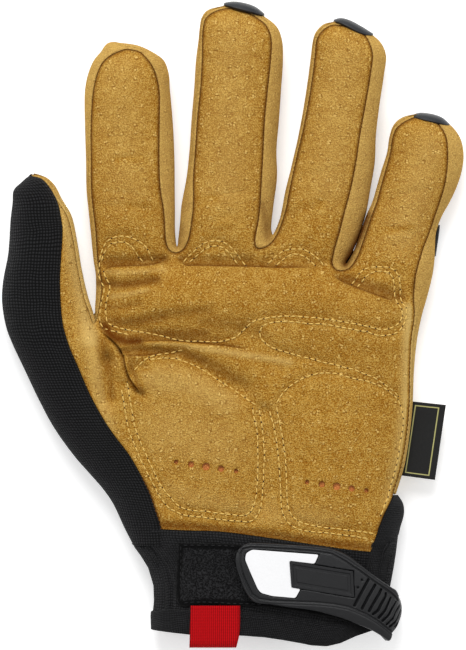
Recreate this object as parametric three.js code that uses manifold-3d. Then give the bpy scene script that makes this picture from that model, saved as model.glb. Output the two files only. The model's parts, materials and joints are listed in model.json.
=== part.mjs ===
// Leather work glove for the left hand, lying on its back with the palm up.
// Millimetres. +X points to the little finger, +Y to the fingertips, +Z up from the surface it lies on.
import * as THREE from "three";
import { mergeVertices } from "three/addons/utils/BufferGeometryUtils.js";
import Module from "manifold-3d";

const wasm = await Module();
wasm.setup();

// Driving dimensions
const LEATHER = 1.5; // wall of the palm leather
const WALL = 1.3; // wall of the side strips and the textile
const CLEARANCE = 0.35; // gap between neighbouring pieces along a seam
const BELLY = 9; // height of the widest line of a finger above the floor
const FINGER_HEIGHT = 20;
const THUMB_HEIGHT = 21.5;
const PALM_HEIGHT = 26;
const WRIST_HEIGHT = 23.5;
const FINGER_ROLL = 17; // how far in from the outline the upper surface is still rounding over
const THUMB_ROLL = 14;
const PALM_ROLL = 24;
const LEATHER_GRID = 5.8;
const PAD_GRID = 9;
const BACK_BOTTOM = 1.6; // the back panel lies on the guards
const BACK_THICK = 1.5;
const BACK_INSET = 2.2;
const FOOT_INSET = 3; // how far the foot of a side strip stands inside the outline
const FOOT_LIFT = 0.3; // gap between the foot of a side strip and the back panel
const GUARD_THICK = 1.2;
const CUTTER_LENGTH = 60; // longer than any piece that it cuts
const CUFF_WALL = 1.4;
const HEM_WIDTH = 9;
const HEM_THICK = 1;
const TAB_THICK = 3.2;

const named = (columns, table) =>
  table.map((row) => Object.fromEntries(columns.map((column, i) => [column, row[i]])));
const v2 = (x, y) => new THREE.Vector2(x, y);
const lerp = THREE.MathUtils.lerp;
const clamp01 = (value) => THREE.MathUtils.clamp(value, 0, 1);
const smooth = (from, to, value) => THREE.MathUtils.smoothstep((value - from) / (to - from), 0, 1);

// Fingers. A row is one section, from the fingertip down: the y of the outer outline and its x on the
// thumb side and on the little finger side, then the y of the palm seams and their x on the same two sides.
const FINGER = ["edgeY", "edgeLeft", "edgeRight", "seamY", "seamLeft", "seamRight"];
const INDEX = named(FINGER, [
  [111.8, -51.0, -37.2, 109.2, -44.4, -37.2],
  [109.2, -52.8, -32.4, 107.6, -48.4, -35.6],
  [106.0, -55.6, -27.6, 104.8, -51.8, -33.2],
  [101.0, -57.8, -25.8, 101.0, -53.8, -31.2],
  [94.0, -59.2, -25.0, 94.0, -55.6, -29.5],
  [80.0, -59.2, -23.6, 80.0, -56.6, -29.4],
  [66.0, -58.8, -23.4, 66.0, -56.6, -29.5],
  [54.0, -58.8, -23.2, 54.0, -56.6, -29.0],
  [47.0, -57.9, -23.4, 47.0, -56.0, -27.7],
  [37.0, -57.1, -23.1, 37.0, -55.0, -27.1],
]);
const MIDDLE = named(FINGER, [
  [126.2, -9.8, 6.2, 125.2, -6.8, 4.2],
  [123.6, -12.2, 12.2, 122.8, -10.4, 9.2],
  [120.0, -13.3, 17.6, 120.0, -11.6, 12.8],
  [115.0, -13.7, 19.5, 115.0, -12.2, 15.3],
  [108.0, -14.6, 20.0, 108.0, -12.3, 15.2],
  [95.0, -15.5, 19.3, 95.0, -12.9, 13.9],
  [82.0, -16.6, 18.4, 82.0, -14.2, 12.6],
  [70.0, -17.2, 17.2, 70.0, -15.0, 12.0],
  [59.0, -18.6, 17.6, 59.0, -15.8, 11.4],
  [48.0, -20.4, 15.8, 48.0, -15.6, 10.9],
  [38.0, -21.2, 15.4, 38.0, -16.8, 9.5],
]);
const RING = named(FINGER, [
  [119.6, 34.4, 48.8, 118.4, 37.8, 47.8],
  [117.0, 32.6, 54.0, 116.2, 34.6, 51.8],
  [113.0, 31.6, 59.1, 113.0, 33.3, 54.0],
  [108.0, 31.1, 61.2, 108.0, 32.8, 55.6],
  [100.0, 30.0, 60.3, 100.0, 31.7, 54.8],
  [88.0, 28.2, 58.6, 88.0, 29.8, 53.0],
  [76.0, 26.0, 57.2, 76.0, 27.4, 50.9],
  [65.0, 23.6, 56.7, 65.0, 25.0, 49.0],
  [54.0, 20.8, 54.9, 54.0, 22.4, 47.0],
  [45.0, 19.3, 52.4, 45.0, 21.0, 44.8],
  [39.0, 17.9, 50.2, 39.0, 19.4, 43.0],
]);
const LITTLE = named(FINGER, [
  [82.6, 66.8, 82.2, 81.4, 69.4, 79.8],
  [79.2, 64.0, 87.8, 78.4, 65.6, 83.0],
  [75.0, 62.4, 90.8, 75.0, 63.9, 84.8],
  [69.0, 61.5, 92.2, 69.0, 62.9, 85.4],
  [62.0, 59.2, 91.6, 62.0, 61.2, 85.4],
  [55.0, 57.2, 89.6, 55.0, 59.0, 84.4],
  [49.0, 55.6, 87.3, 49.0, 57.4, 82.5],
  [43.0, 53.6, 83.8, 43.0, 55.4, 80.5],
  [37.0, 51.4, 81.4, 37.0, 53.4, 78.4],
  [30.0, 48.8, 81.2, 30.0, 51.0, 75.8],
]);

// A rail is the pair of lines that bound a side strip: its seam with the palm leather and the outer outline.
const RAIL = ["seamX", "seamY", "edgeX", "edgeY"];
const rail = (table) =>
  named(RAIL, table).map((row) => ({ seam: v2(row.seamX, row.seamY), edge: v2(row.edgeX, row.edgeY) }));
const leftSide = (finger) =>
  finger.map((row) => ({ seam: v2(row.seamLeft, row.seamY), edge: v2(row.edgeLeft, row.edgeY) }));
const rightSide = (finger) =>
  finger.map((row) => ({ seam: v2(row.seamRight, row.seamY), edge: v2(row.edgeRight, row.edgeY) }));

const TIPS = {
  index: rail([[-40.8, 109.4, -43.6, 112.4]]),
  middle: rail([[-0.6, 126.2, -0.6, 127.4]]),
  ring: rail([[43.4, 119.2, 42.6, 120.9]]),
  little: rail([[75.4, 82.3, 75.0, 83.6]]),
  thumb: rail([[-79.2, 58.2, -80.6, 59.9]]),
};
const CROTCHES = {
  indexMiddle: rail([[-22.4, 28.9, -22.3, 31.6]]),
  middleRing: rail([[11.0, 30.4, 15.6, 35.4]]),
  ringLittle: rail([[41.2, 29.0, 47.2, 29.8], [42.4, 22.4, 46.0, 24.8]]),
};

const ULNAR_EDGE = rail([
  [64.0, -66.8, 65.4, -66.6],
  [67.2, -56.0, 68.6, -55.6],
  [69.2, -44.0, 70.6, -43.8],
  [70.3, -32.0, 71.8, -32.0],
  [70.5, -18.0, 72.4, -18.0],
  [70.9, -6.0, 73.6, -6.0],
  [72.3, 4.0, 75.5, 4.0],
  [72.1, 11.0, 77.9, 11.0],
  [72.7, 20.0, 79.8, 20.0],
]);
const GUSSET_EDGE = rail([
  [55.3, -88.0, 65.6, -88.0],
  [57.8, -81.6, 66.8, -81.6],
  [60.2, -75.6, 68.4, -75.6],
  [62.6, -70.8, 68.4, -71.2],
  [63.8, -67.9, 65.6, -67.7],
]);
const INDEX_ROOT = rail([
  [-54.0, 25.2, -55.6, 25.2],
  [-52.8, 16.0, -55.0, 16.0],
  [-52.9, 8.6, -54.9, 9.0],
]);
const WEB = rail([[-55.3, 0.8, -54.9, 2.9]]);
const THUMB_INNER = rail([
  [-59.3, 10.0, -58.0, 10.8],
  [-61.8, 21.6, -60.4, 22.0],
  [-63.8, 34.0, -62.4, 34.0],
  [-66.2, 43.6, -64.8, 44.0],
]);
const THUMB_TIP_INNER = rail([
  [-70.4, 50.2, -68.6, 50.8],
  [-73.2, 55.0, -71.8, 55.8],
  [-76.4, 57.6, -75.6, 59.3],
]);
const THUMB_TIP_OUTER = rail([
  [-76.4, 57.6, -85.2, 56.4],
  [-73.2, 55.0, -87.8, 53.4],
  [-70.4, 50.2, -88.2, 48.8],
]);
const THUMB_OUTER = rail([
  [-68.8, 43.2, -89.0, 42.4],
  [-68.0, 34.0, -89.6, 32.0],
  [-68.8, 22.0, -91.2, 21.6],
  [-68.8, 10.0, -92.4, 10.0],
  [-67.6, -0.8, -90.8, -0.8],
  [-63.2, -13.2, -86.0, -12.8],
  [-57.2, -26.8, -79.6, -26.0],
  [-49.2, -41.2, -71.6, -41.2],
  [-41.2, -52.0, -63.2, -52.8],
  [-35.2, -62.8, -54.4, -62.8],
  [-30.8, -73.2, -47.6, -71.6],
]);
const THUMB_WRIST = rail([
  [-28.4, -81.2, -44.0, -81.2],
  [-28.2, -88.0, -39.8, -88.2],
]);
const PALM_WRIST_EDGE = [
  v2(-17.2, -81.6), v2(-5.2, -82.0), v2(10.8, -84.0), v2(26.8, -86.4), v2(42.8, -88.8), v2(54.8, -90.2),
];

// The rails go round the glove counter-clockwise, from the wrist slit up to the fingertips and down again.
const SIDES = {
  wrist_gusset: GUSSET_EDGE,
  ulnar_side: [...ULNAR_EDGE, ...rightSide(LITTLE).reverse(), ...TIPS.little],
  fourchette_ring_little: [
    ...TIPS.little, ...leftSide(LITTLE), ...CROTCHES.ringLittle.slice().reverse(),
    ...rightSide(RING).reverse(), ...TIPS.ring,
  ],
  fourchette_middle_ring: [
    ...TIPS.ring, ...leftSide(RING), ...CROTCHES.middleRing, ...rightSide(MIDDLE).reverse(), ...TIPS.middle,
  ],
  fourchette_index_middle: [
    ...TIPS.middle, ...leftSide(MIDDLE), ...CROTCHES.indexMiddle,
    ...rightSide(INDEX).reverse(), ...TIPS.index,
  ],
  index_thumb_side: [
    ...TIPS.index, ...leftSide(INDEX), ...INDEX_ROOT, ...WEB,
    ...THUMB_INNER, ...THUMB_TIP_INNER, ...TIPS.thumb,
  ],
  thumb_back: [...TIPS.thumb, ...THUMB_TIP_OUTER, ...THUMB_OUTER, ...THUMB_WRIST],
};
const OUTLINE = Object.values(SIDES).flat().map((row) => row.edge);

// Dents of the palm side: each is a furrow between two points with its depth and half width.
const FURROW = ["x0", "y0", "x1", "y1", "depth", "halfWidth"];
const FURROWS = named(FURROW, [
  [-54, 0, -49, -12, 5.0, 4.0], // where the thumb folds under the palm
  [-49, -12, -50, -28, 4.0, 4.5],
  [-50, 25, -28, 24, 2.6, 3.5], // crease at the root of the index finger
  [-20, 24, 6, 23, 2.6, 3.5], // of the middle finger
  [14, 23, 40, 20, 2.2, 3.5], // of the ring finger
  [46, 16, 66, 11, 2.6, 3.5], // of the little finger
  [-44, -8, -2, -7, 3.0, 4.0], // cross crease of the palm
  [-2, -7, 16, -12, 2.2, 5.0],
  [12, -32, 13, -74, 1.8, 4.0], // channel between the two pads
]);

const distanceToSegment = (p, a, b) => {
  const t = clamp01(p.clone().sub(a).dot(b.clone().sub(a)) / Math.max(a.distanceToSquared(b), 1e-9));
  return p.distanceTo(a.clone().lerp(b, t));
};
const distanceToChain = (p, chain) => {
  let best = Infinity;
  for (let i = 1; i < chain.length; i += 1) {
    best = Math.min(best, distanceToSegment(p, chain[i - 1], chain[i]));
  }
  return best;
};
const isInside = (p, chain) => {
  let inside = false;
  for (let i = 0, j = chain.length - 1; i < chain.length; j = i, i += 1) {
    const a = chain[i];
    const b = chain[j];
    if (a.y > p.y !== b.y > p.y && p.x < ((b.x - a.x) * (p.y - a.y)) / (b.y - a.y) + a.x) inside = !inside;
  }
  return inside;
};

// Height of the upper surface: it rounds up from the outline to the crown of the finger, thumb, palm or
// wrist, less the furrows. Below the end of the side strips it runs straight on.
const SIDES_END_Y = -87.8;
const PALM_FADE = { fromY: 34, toY: 6 };
const WRIST_FADE = { fromY: -58, toY: -88 };
const THUMB_FADE = { fromX: -52, toX: -64, fromY: 70, toY: 60 };
const topHeight = (x, y) => {
  const p = v2(x, Math.max(y, SIDES_END_Y));
  const palm = smooth(PALM_FADE.fromY, PALM_FADE.toY, y);
  const wrist = smooth(WRIST_FADE.fromY, WRIST_FADE.toY, y);
  const thumb = smooth(THUMB_FADE.fromX, THUMB_FADE.toX, x) * smooth(THUMB_FADE.fromY, THUMB_FADE.toY, y);
  const handCrown = lerp(FINGER_HEIGHT, PALM_HEIGHT, palm) - (PALM_HEIGHT - WRIST_HEIGHT) * wrist;
  const crown = lerp(handCrown, THUMB_HEIGHT, thumb);
  const roll = lerp(lerp(FINGER_ROLL, PALM_ROLL, palm), THUMB_ROLL, thumb);
  const depth = isInside(p, OUTLINE) ? distanceToChain(p, OUTLINE) : 0;
  const rise = Math.sqrt(1 - (1 - Math.min(depth / roll, 1)) ** 2);
  const furrows = FURROWS.reduce((sum, f) => {
    const away = distanceToSegment(p, v2(f.x0, f.y0), v2(f.x1, f.y1)) / f.halfWidth;
    return sum + f.depth * Math.exp(-away * away);
  }, 0);
  return BELLY + (crown - BELLY - furrows) * rise;
};

const material = (color, roughness) => new THREE.MeshStandardMaterial({ color, roughness, metalness: 0 });
const suede = material("#b5894a", 0.92);
const blackTextile = material("#202123", 0.95);
const blackRubber = material("#33353a", 0.55);
const whitePlastic = material("#f0f0f2", 0.5);
const redRibbon = material("#c01018", 0.75);
const orangeFoam = material("#c9692f", 0.9);

const glove = new THREE.Group();
const add = (name, geometry, look) => {
  const mesh = new THREE.Mesh(geometry, look);
  mesh.name = name;
  glove.add(mesh);
};

// A closed wall between an outer and an inner grid of points. With loop set, the columns join up into a tube.
const wallGeometry = (outer, inner, loop = false) => {
  const rowCount = outer.length;
  const columnCount = outer[0].length;
  const points = [...outer.flat(), ...inner.flat()];
  const offset = rowCount * columnCount;
  const at = (i, j) => i * columnCount + (j % columnCount);
  const faces = [];
  const quad = (a, b, c, d) => faces.push(a, b, c, a, c, d);
  const lastColumn = loop ? columnCount : columnCount - 1;
  for (let i = 0; i + 1 < rowCount; i += 1) {
    for (let j = 0; j < lastColumn; j += 1) {
      quad(at(i, j), at(i + 1, j), at(i + 1, j + 1), at(i, j + 1));
      quad(offset + at(i, j), offset + at(i, j + 1), offset + at(i + 1, j + 1), offset + at(i + 1, j));
    }
  }
  for (let j = 0; j < lastColumn; j += 1) {
    quad(at(0, j), at(0, j + 1), offset + at(0, j + 1), offset + at(0, j));
    const end = rowCount - 1;
    quad(at(end, j + 1), at(end, j), offset + at(end, j), offset + at(end, j + 1));
  }
  if (!loop) {
    for (let i = 0; i + 1 < rowCount; i += 1) {
      quad(at(i + 1, 0), at(i, 0), offset + at(i, 0), offset + at(i + 1, 0));
      const end = columnCount - 1;
      quad(at(i, end), at(i + 1, end), offset + at(i + 1, end), offset + at(i, end));
    }
  }
  return facedOut(points, faces);
};

const facedOut = (points, faces) => {
  let volume = 0;
  for (let i = 0; i < faces.length; i += 3) {
    const [a, b, c] = [points[faces[i]], points[faces[i + 1]], points[faces[i + 2]]];
    volume += a.dot(b.clone().cross(c));
  }
  const ordered = volume > 0 ? faces : faces.slice().reverse();
  const geometry = new THREE.BufferGeometry();
  geometry.setAttribute("position", new THREE.Float32BufferAttribute(points.flatMap((p) => p.toArray()), 3));
  geometry.setIndex(ordered);
  return geometry;
};

const toSolid = (geometry) => {
  const bare = geometry.clone();
  bare.deleteAttribute("normal");
  bare.deleteAttribute("uv");
  const merged = mergeVertices(bare, 1e-4);
  return new wasm.Manifold(new wasm.Mesh({
    numProp: 3,
    vertProperties: new Float32Array(merged.attributes.position.array),
    triVerts: new Uint32Array(merged.index.array),
  }));
};
const toGeometry = (solid) => {
  const mesh = solid.getMesh();
  const geometry = new THREE.BufferGeometry();
  geometry.setAttribute("position", new THREE.BufferAttribute(new Float32Array(mesh.vertProperties), 3));
  geometry.setIndex(new THREE.BufferAttribute(new Uint32Array(mesh.triVerts), 1));
  return geometry;
};

// A slab whose top follows a height function, cut to an outline.
const SLAB_MARGIN = 1;
const drapedPiece = (outline, height, thickness, grid) => {
  const shape = new THREE.Shape(outline);
  const box = new THREE.Box2().setFromPoints(outline).expandByScalar(SLAB_MARGIN);
  const size = box.getSize(v2(0, 0));
  const columns = Math.ceil(size.x / grid);
  const rowsCount = Math.ceil(size.y / grid);
  const layer = (drop) => Array.from({ length: rowsCount + 1 }, (_, i) =>
    Array.from({ length: columns + 1 }, (_, j) => {
      const x = box.min.x + (size.x * j) / columns;
      const y = box.min.y + (size.y * i) / rowsCount;
      return new THREE.Vector3(x, y, height(x, y) - drop);
    }));
  const slab = toSolid(wallGeometry(layer(0), layer(thickness)));
  const cutter = toSolid(new THREE.ExtrudeGeometry(shape, { depth: CUTTER_LENGTH, bevelEnabled: false }));
  return slab.intersect(cutter);
};

const flatPlate = (outline, bottom, thickness) =>
  new THREE.ExtrudeGeometry(new THREE.Shape(outline), { depth: thickness, bevelEnabled: false })
    .translate(0, 0, bottom);

// Palm leather
const seamLine = (rows) => rows.map((row) => row.seam);
const PALM_OUTLINE = [
  ...PALM_WRIST_EDGE,
  ...seamLine(GUSSET_EDGE.slice(1, -1)),
  ...seamLine(SIDES.ulnar_side),
  ...seamLine(SIDES.fourchette_ring_little.slice(1)),
  ...seamLine(SIDES.fourchette_middle_ring.slice(1)),
  ...seamLine(SIDES.fourchette_index_middle.slice(1)),
  ...seamLine([...leftSide(INDEX), ...INDEX_ROOT, ...WEB, ...THUMB_INNER]),
  THUMB_TIP_INNER[0].seam,
  ...seamLine(THUMB_OUTER),
  THUMB_WRIST[0].seam,
];

// Two rows of perforations over the pads: the first and last hole of a row, and the holes' diameters.
const PERFORATION_ROWS = [
  { from: v2(-22.6, -54.4), to: v2(1.2, -58.0) },
  { from: v2(29.4, -62.2), to: v2(53.0, -65.9) },
];
const PERFORATIONS = [1.7, 2.4, 3.0, 2.4, 1.7];
const PERFORATION_SIDES = 8;
const perforations = PERFORATION_ROWS.flatMap((row) => PERFORATIONS.map((diameter, i) => {
  const centre = row.from.clone().lerp(row.to, i / (PERFORATIONS.length - 1));
  const punch = new THREE.CylinderGeometry(diameter / 2, diameter / 2, CUTTER_LENGTH, PERFORATION_SIDES);
  return toSolid(punch.rotateX(Math.PI / 2).translate(centre.x, centre.y, 0));
}));
let palmSolid = drapedPiece(PALM_OUTLINE, topHeight, LEATHER, LEATHER_GRID);
for (const hole of perforations) palmSolid = palmSolid.subtract(hole);
add("palm_leather", toGeometry(palmSolid), suede);

// Foam pads under the leather
const PAD_THICK = 2;
const PAD_CLEARANCE = 0.6;
const PAD_POINTS = 20;
const PAD_SQUARE = 2.8; // how square a pad is: 2 would be an ellipse
const underLeather = (x, y) => topHeight(x, y) - LEATHER - PAD_CLEARANCE;
const roundedPad = (centre, halfWidth, halfLength, tilt) =>
  Array.from({ length: PAD_POINTS }, (_, i) => {
    const angle = (i / PAD_POINTS) * 2 * Math.PI;
    const power = 2 / PAD_SQUARE;
    const x = halfWidth * Math.sign(Math.cos(angle)) * Math.abs(Math.cos(angle)) ** power;
    const y = halfLength * Math.sign(Math.sin(angle)) * Math.abs(Math.sin(angle)) ** power;
    return v2(x, y).rotateAround(v2(0, 0), tilt).add(centre);
  });
const PADS = {
  thenar_pad: roundedPad(v2(-13, -46), 19, 23, 0.12),
  heel_pad: roundedPad(v2(40.5, -52), 18.5, 26, 0.05),
};
for (const [name, outline] of Object.entries(PADS)) {
  add(name, toGeometry(drapedPiece(outline, underLeather, PAD_THICK, PAD_GRID)), orangeFoam);
}

// Side strips: each section runs from the seam over the widest line and down to the back panel.
const FOOT_Z = BACK_BOTTOM + BACK_THICK + FOOT_LIFT;
const STRIP_KNEE = v2(0.9, 5.6); // a point below the widest line: how far in it is, and its height
const NARROWEST_STRIP = 0.9;
const UPPER_CROWDING = 1.7; // how much closer together the points are at the widest line than at the seam
const SEAM_LAP = 0.3; // how far the inner face reaches below the leather at the seam
const SHARPEST_TURN = 0.5; // keeps the gap from growing without end at a sharp corner of the seam
const seamOffset = (rows, i) => {
  const before = rows[Math.max(i - 1, 0)].seam;
  const here = rows[i].seam;
  const after = rows[Math.min(i + 1, rows.length - 1)].seam;
  const normalOf = (a, b) => v2(b.y - a.y, a.x - b.x).normalize();
  const first = i > 0 ? normalOf(before, here) : normalOf(here, after);
  const second = i < rows.length - 1 ? normalOf(here, after) : first;
  const middle = first.clone().add(second).normalize();
  return here.clone().addScaledVector(middle, CLEARANCE / Math.max(middle.dot(first), SHARPEST_TURN));
};
const stripSection = (rows, i, upperCount) => {
  const edge = rows[i].edge;
  const top = seamOffset(rows, i);
  const width = Math.max(edge.distanceTo(top), NARROWEST_STRIP);
  const inward = top.clone().sub(edge).normalize();
  const at = (inset) => edge.clone().addScaledVector(inward, inset);
  const profile = [];
  for (let k = 0; k <= upperCount; k += 1) {
    const inset = width * (1 - k / upperCount) ** UPPER_CROWDING;
    const p = at(inset);
    profile.push(v2(inset, Math.max(topHeight(p.x, p.y), BELLY)));
  }
  profile[upperCount].y = BELLY;
  profile.push(STRIP_KNEE, v2(FOOT_INSET, FOOT_Z));
  const last = profile.length - 1;
  const inner = profile.map((p, k) => {
    if (k === 0) return v2(p.x, p.y - LEATHER - SEAM_LAP);
    if (k === last) return v2(p.x + WALL, p.y);
    const along = profile[k + 1].clone().sub(profile[k - 1]).normalize();
    const q = p.clone().sub(v2(along.y, -along.x).multiplyScalar(WALL));
    if (k < upperCount) q.x = Math.min(q.x, width - 0.1 * k);
    return q;
  });
  const place = (p) => new THREE.Vector3(at(p.x).x, at(p.x).y, p.y);
  return { outer: profile.map(place), inner: inner.map(place) };
};
const END_GAP = 0.4; // each end of a strip stands back by this much
const shortened = (rows) => {
  const trimmed = rows.map((row) => ({ seam: row.seam.clone(), edge: row.edge.clone() }));
  const pull = (end, next) => {
    end.seam.addScaledVector(next.seam.clone().sub(end.seam).normalize(), END_GAP / 2);
    end.edge.addScaledVector(next.edge.clone().sub(end.edge).normalize(), END_GAP / 2);
  };
  pull(trimmed[0], trimmed[1]);
  pull(trimmed[trimmed.length - 1], trimmed[trimmed.length - 2]);
  return trimmed;
};
const stripGeometry = (rows, upperCount) => {
  const trimmed = shortened(rows);
  const sections = trimmed.map((_, i) => stripSection(trimmed, i, upperCount));
  return wallGeometry(sections.map((s) => s.outer), sections.map((s) => s.inner));
};
const UPPER_POINTS = 3;
const TEXTILE_UPPER_POINTS = { thumb_back: 5, wrist_gusset: 3 };
for (const [name, rows] of Object.entries(SIDES)) {
  const look = name in TEXTILE_UPPER_POINTS ? blackTextile : suede;
  add(name, stripGeometry(rows, TEXTILE_UPPER_POINTS[name] ?? UPPER_POINTS), look);
}

// Back panel, cut a little inside the outline
const SHORTEST_EDGE = 0.2;
const insetEdge = (row, inset) => {
  const inward = row.seam.clone().sub(row.edge).normalize();
  return row.edge.clone().addScaledVector(inward, inset);
};
const BACK_OUTLINE = Object.values(SIDES).flat().map((row) => insetEdge(row, BACK_INSET))
  .filter((p, i, all) => i === 0 || p.distanceTo(all[i - 1]) > SHORTEST_EDGE);
add("back_panel", flatPlate(BACK_OUTLINE, BACK_BOTTOM, BACK_THICK), blackTextile);

// Rubber guards: a plate under the finger whose end curls up over the fingertip. A row is one section: how
// far it is past the fingertip, the height of its outer face, and its half width.
const GUARD_SECTION = ["reach", "z", "halfWidth"];
const GUARD_PROFILE = named(GUARD_SECTION, [
  [-62, 0, 8.0],
  [-40, 0, 10.0],
  [-14, 0, 10.5],
  [-1.5, 0, 9.6],
  [1.1, 1.2, 9.0],
  [1.7, 4.2, 8.6],
  [1.7, 8.0, 8.0],
  [1.5, 11.0, 7.0],
]);
const GUARD_COLUMNS = 4;
const GUARD_ROUNDING = 0.022; // how fast the curled end falls back to each side
const FLAT_PART = { endsAt: -14, roundingShare: 0.3 }; // the flat part of the plate falls back less
const guards = {
  middle_guard: { tip: v2(3.4, 127.4), root: v2(-5.0, 60) },
  ring_guard: { tip: v2(46.2, 120.8), root: v2(35.6, 58) },
  little_guard: { tip: v2(78.0, 83.8), root: v2(67.5, 38), scale: 0.62, width: 0.82 },
};
const offsetGrid = (grid, distance, loop = false) => grid.map((row, i) => row.map((p, j) => {
  const lastRow = grid.length - 1;
  const count = row.length;
  const before = loop ? row[(j + count - 1) % count] : row[Math.max(j - 1, 0)];
  const after = loop ? row[(j + 1) % count] : row[Math.min(j + 1, count - 1)];
  const along = grid[Math.min(i + 1, lastRow)][j].clone().sub(grid[Math.max(i - 1, 0)][j]);
  const normal = along.cross(after.clone().sub(before)).normalize();
  return p.clone().addScaledVector(normal, distance);
}));
for (const [name, guard] of Object.entries(guards)) {
  const axis = guard.tip.clone().sub(guard.root).normalize();
  const across = v2(axis.y, -axis.x);
  const outer = GUARD_PROFILE.map((section) => Array.from({ length: GUARD_COLUMNS + 1 }, (_, j) => {
    const side = section.halfWidth * (guard.width ?? 1) * ((2 * j) / GUARD_COLUMNS - 1);
    const reach = section.reach * (section.reach < 0 ? guard.scale ?? 1 : 1);
    const share = section.reach > FLAT_PART.endsAt ? 1 : FLAT_PART.roundingShare;
    const back = GUARD_ROUNDING * side * side * share;
    const p = guard.tip.clone().addScaledVector(axis, reach - back).addScaledVector(across, side);
    return new THREE.Vector3(p.x, p.y, section.z);
  }));
  add(name, wallGeometry(outer, offsetGrid(outer, -GUARD_THICK)), blackRubber);
}

// Knuckle guard: a plate across the back whose end turns up at the edge of the hand
const KNUCKLE_SECTION = ["x", "z", "yLow", "yHigh"];
const KNUCKLE_PROFILE = named(KNUCKLE_SECTION, [
  [-48, 0, 6, 20],
  [-40, 0, 0, 26],
  [0, 0, -4, 30],
  [50, 0, 2, 30],
  [79.8, 0, 26, 38],
  [82.6, 1.4, 28, 39],
  [83.9, 3.8, 28.5, 39],
  [84.1, 6.4, 29, 38],
]);
const KNUCKLE_COLUMNS = [0, 0.33, 0.67, 1];
const knuckleOuter = KNUCKLE_PROFILE.map((section) => KNUCKLE_COLUMNS.map((t) =>
  new THREE.Vector3(section.x, lerp(section.yLow, section.yHigh, t), section.z)));
add("knuckle_guard", wallGeometry(knuckleOuter, offsetGrid(knuckleOuter, GUARD_THICK)), blackRubber);

// Cuff: a flattened tube from under the palm leather to the mouth. A row is one section across the wrist.
const CUFF_SECTION = ["y", "left", "right"];
const CUFF = named(CUFF_SECTION, [
  [-88.8, -39.6, 65.4],
  [-96, -34.6, 64.4],
  [-106, -31.6, 62.4],
  [-115, -33.2, 60.6],
  [-122, -33.0, 57.0],
]);
const HEM_CLEARANCE = 0.3;
const CUFF_BOTTOM = HEM_THICK + HEM_CLEARANCE;
const CUFF_TOP = 20.8;
const CUFF_SQUARE = 3.2; // how square the flattened tube is: 2 would be an ellipse
const CUFF_COLUMNS = 32;
const CUFF_MEAN = { left: -34, right: 62 };
const MOUTH = named(["x", "y"], [
  [-40, -120.8], [-17, -122.4], [3, -122.4], [23, -124], [37, -126.2], [44, -126.8], [54, -122.6], [68, -119],
]);
const tableValue = (table, key, value, at) => {
  const isRising = table[1][key] > table[0][key];
  const i = Math.max(table.findIndex((row) => (isRising ? row[key] >= at : row[key] <= at)), 1);
  const [a, b] = [table[i - 1], table[i]];
  return lerp(a[value], b[value], clamp01((at - a[key]) / (b[key] - a[key])));
};
const mouthY = (x) => tableValue(MOUTH, "x", "y", Math.min(x, MOUTH[MOUTH.length - 1].x));
const leatherEdgeY = (x) => {
  const edge = [THUMB_WRIST[0].seam, ...PALM_WRIST_EDGE];
  return tableValue(edge, "x", "y", Math.min(Math.max(x, edge[0].x), edge[edge.length - 1].x));
};
const cuffPoint = (left, right, bottom, top, angle, y) => {
  const power = 2 / CUFF_SQUARE;
  const round = (value) => Math.sign(value) * Math.abs(value) ** power;
  const x = (left + right) / 2 + ((right - left) / 2) * round(Math.cos(angle));
  const z = (top + bottom) / 2 + ((top - bottom) / 2) * round(Math.sin(angle));
  return new THREE.Vector3(x, y, z);
};
const LEATHER_LAP = 3.5; // the leather's edge lies this far over the cuff
const LAP_CLEARANCE = 0.6;
const LAP_SPAN = { left: -22, right: 48, up: 0.5 }; // the part of the cuff that reaches under the leather
const cuffStart = (x, up) => {
  const isLapped = up > LAP_SPAN.up && x > LAP_SPAN.left && x < LAP_SPAN.right;
  return isLapped ? leatherEdgeY(x) + LEATHER_LAP : CUFF[0].y;
};
const CUFF_ANGLES = Array.from({ length: CUFF_COLUMNS }, (_, j) => (j / CUFF_COLUMNS) * 2 * Math.PI);
const cuffGrid = (steps, grow, startY, endY) => steps.map((t) => CUFF_ANGLES.map((angle) => {
  const across = cuffPoint(CUFF_MEAN.left, CUFF_MEAN.right, 0, 1, angle, 0).x;
  const y = lerp(startY(across, Math.sin(angle)), endY(across), t);
  const sectionY = THREE.MathUtils.clamp(y, CUFF[CUFF.length - 1].y, CUFF[0].y);
  const left = tableValue(CUFF, "y", "left", sectionY) - grow;
  const right = tableValue(CUFF, "y", "right", sectionY) + grow;
  const p = cuffPoint(left, right, CUFF_BOTTOM - grow, CUFF_TOP + grow, angle, y);
  if (Math.sin(angle) > 0 && y > leatherEdgeY(p.x) - LEATHER_LAP) {
    p.z = Math.min(p.z, topHeight(p.x, y) - LEATHER - LAP_CLEARANCE + grow);
  }
  return p;
}));
const CUFF_STEPS = [0, 0.2, 0.45, 0.72, 1];
const cuffOuter = cuffGrid(CUFF_STEPS, 0, cuffStart, mouthY);
const cuffInner = cuffGrid(CUFF_STEPS, -CUFF_WALL, cuffStart, mouthY);
add("cuff_textile", wallGeometry(cuffOuter, cuffInner, true), blackTextile);

// Hem: the band folded round the mouth of the cuff
const HEM_OVERHANG = 0.5;
const hemTop = (x) => mouthY(x) + HEM_WIDTH;
const hemEnd = (x) => mouthY(x) - HEM_OVERHANG;
const hemOuter = cuffGrid([0, 1], HEM_THICK + HEM_CLEARANCE, hemTop, hemEnd);
const hemInner = cuffGrid([0, 1], HEM_CLEARANCE, hemTop, hemEnd);
add("hem_binding", wallGeometry(hemOuter, hemInner, true), blackTextile);

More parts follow.
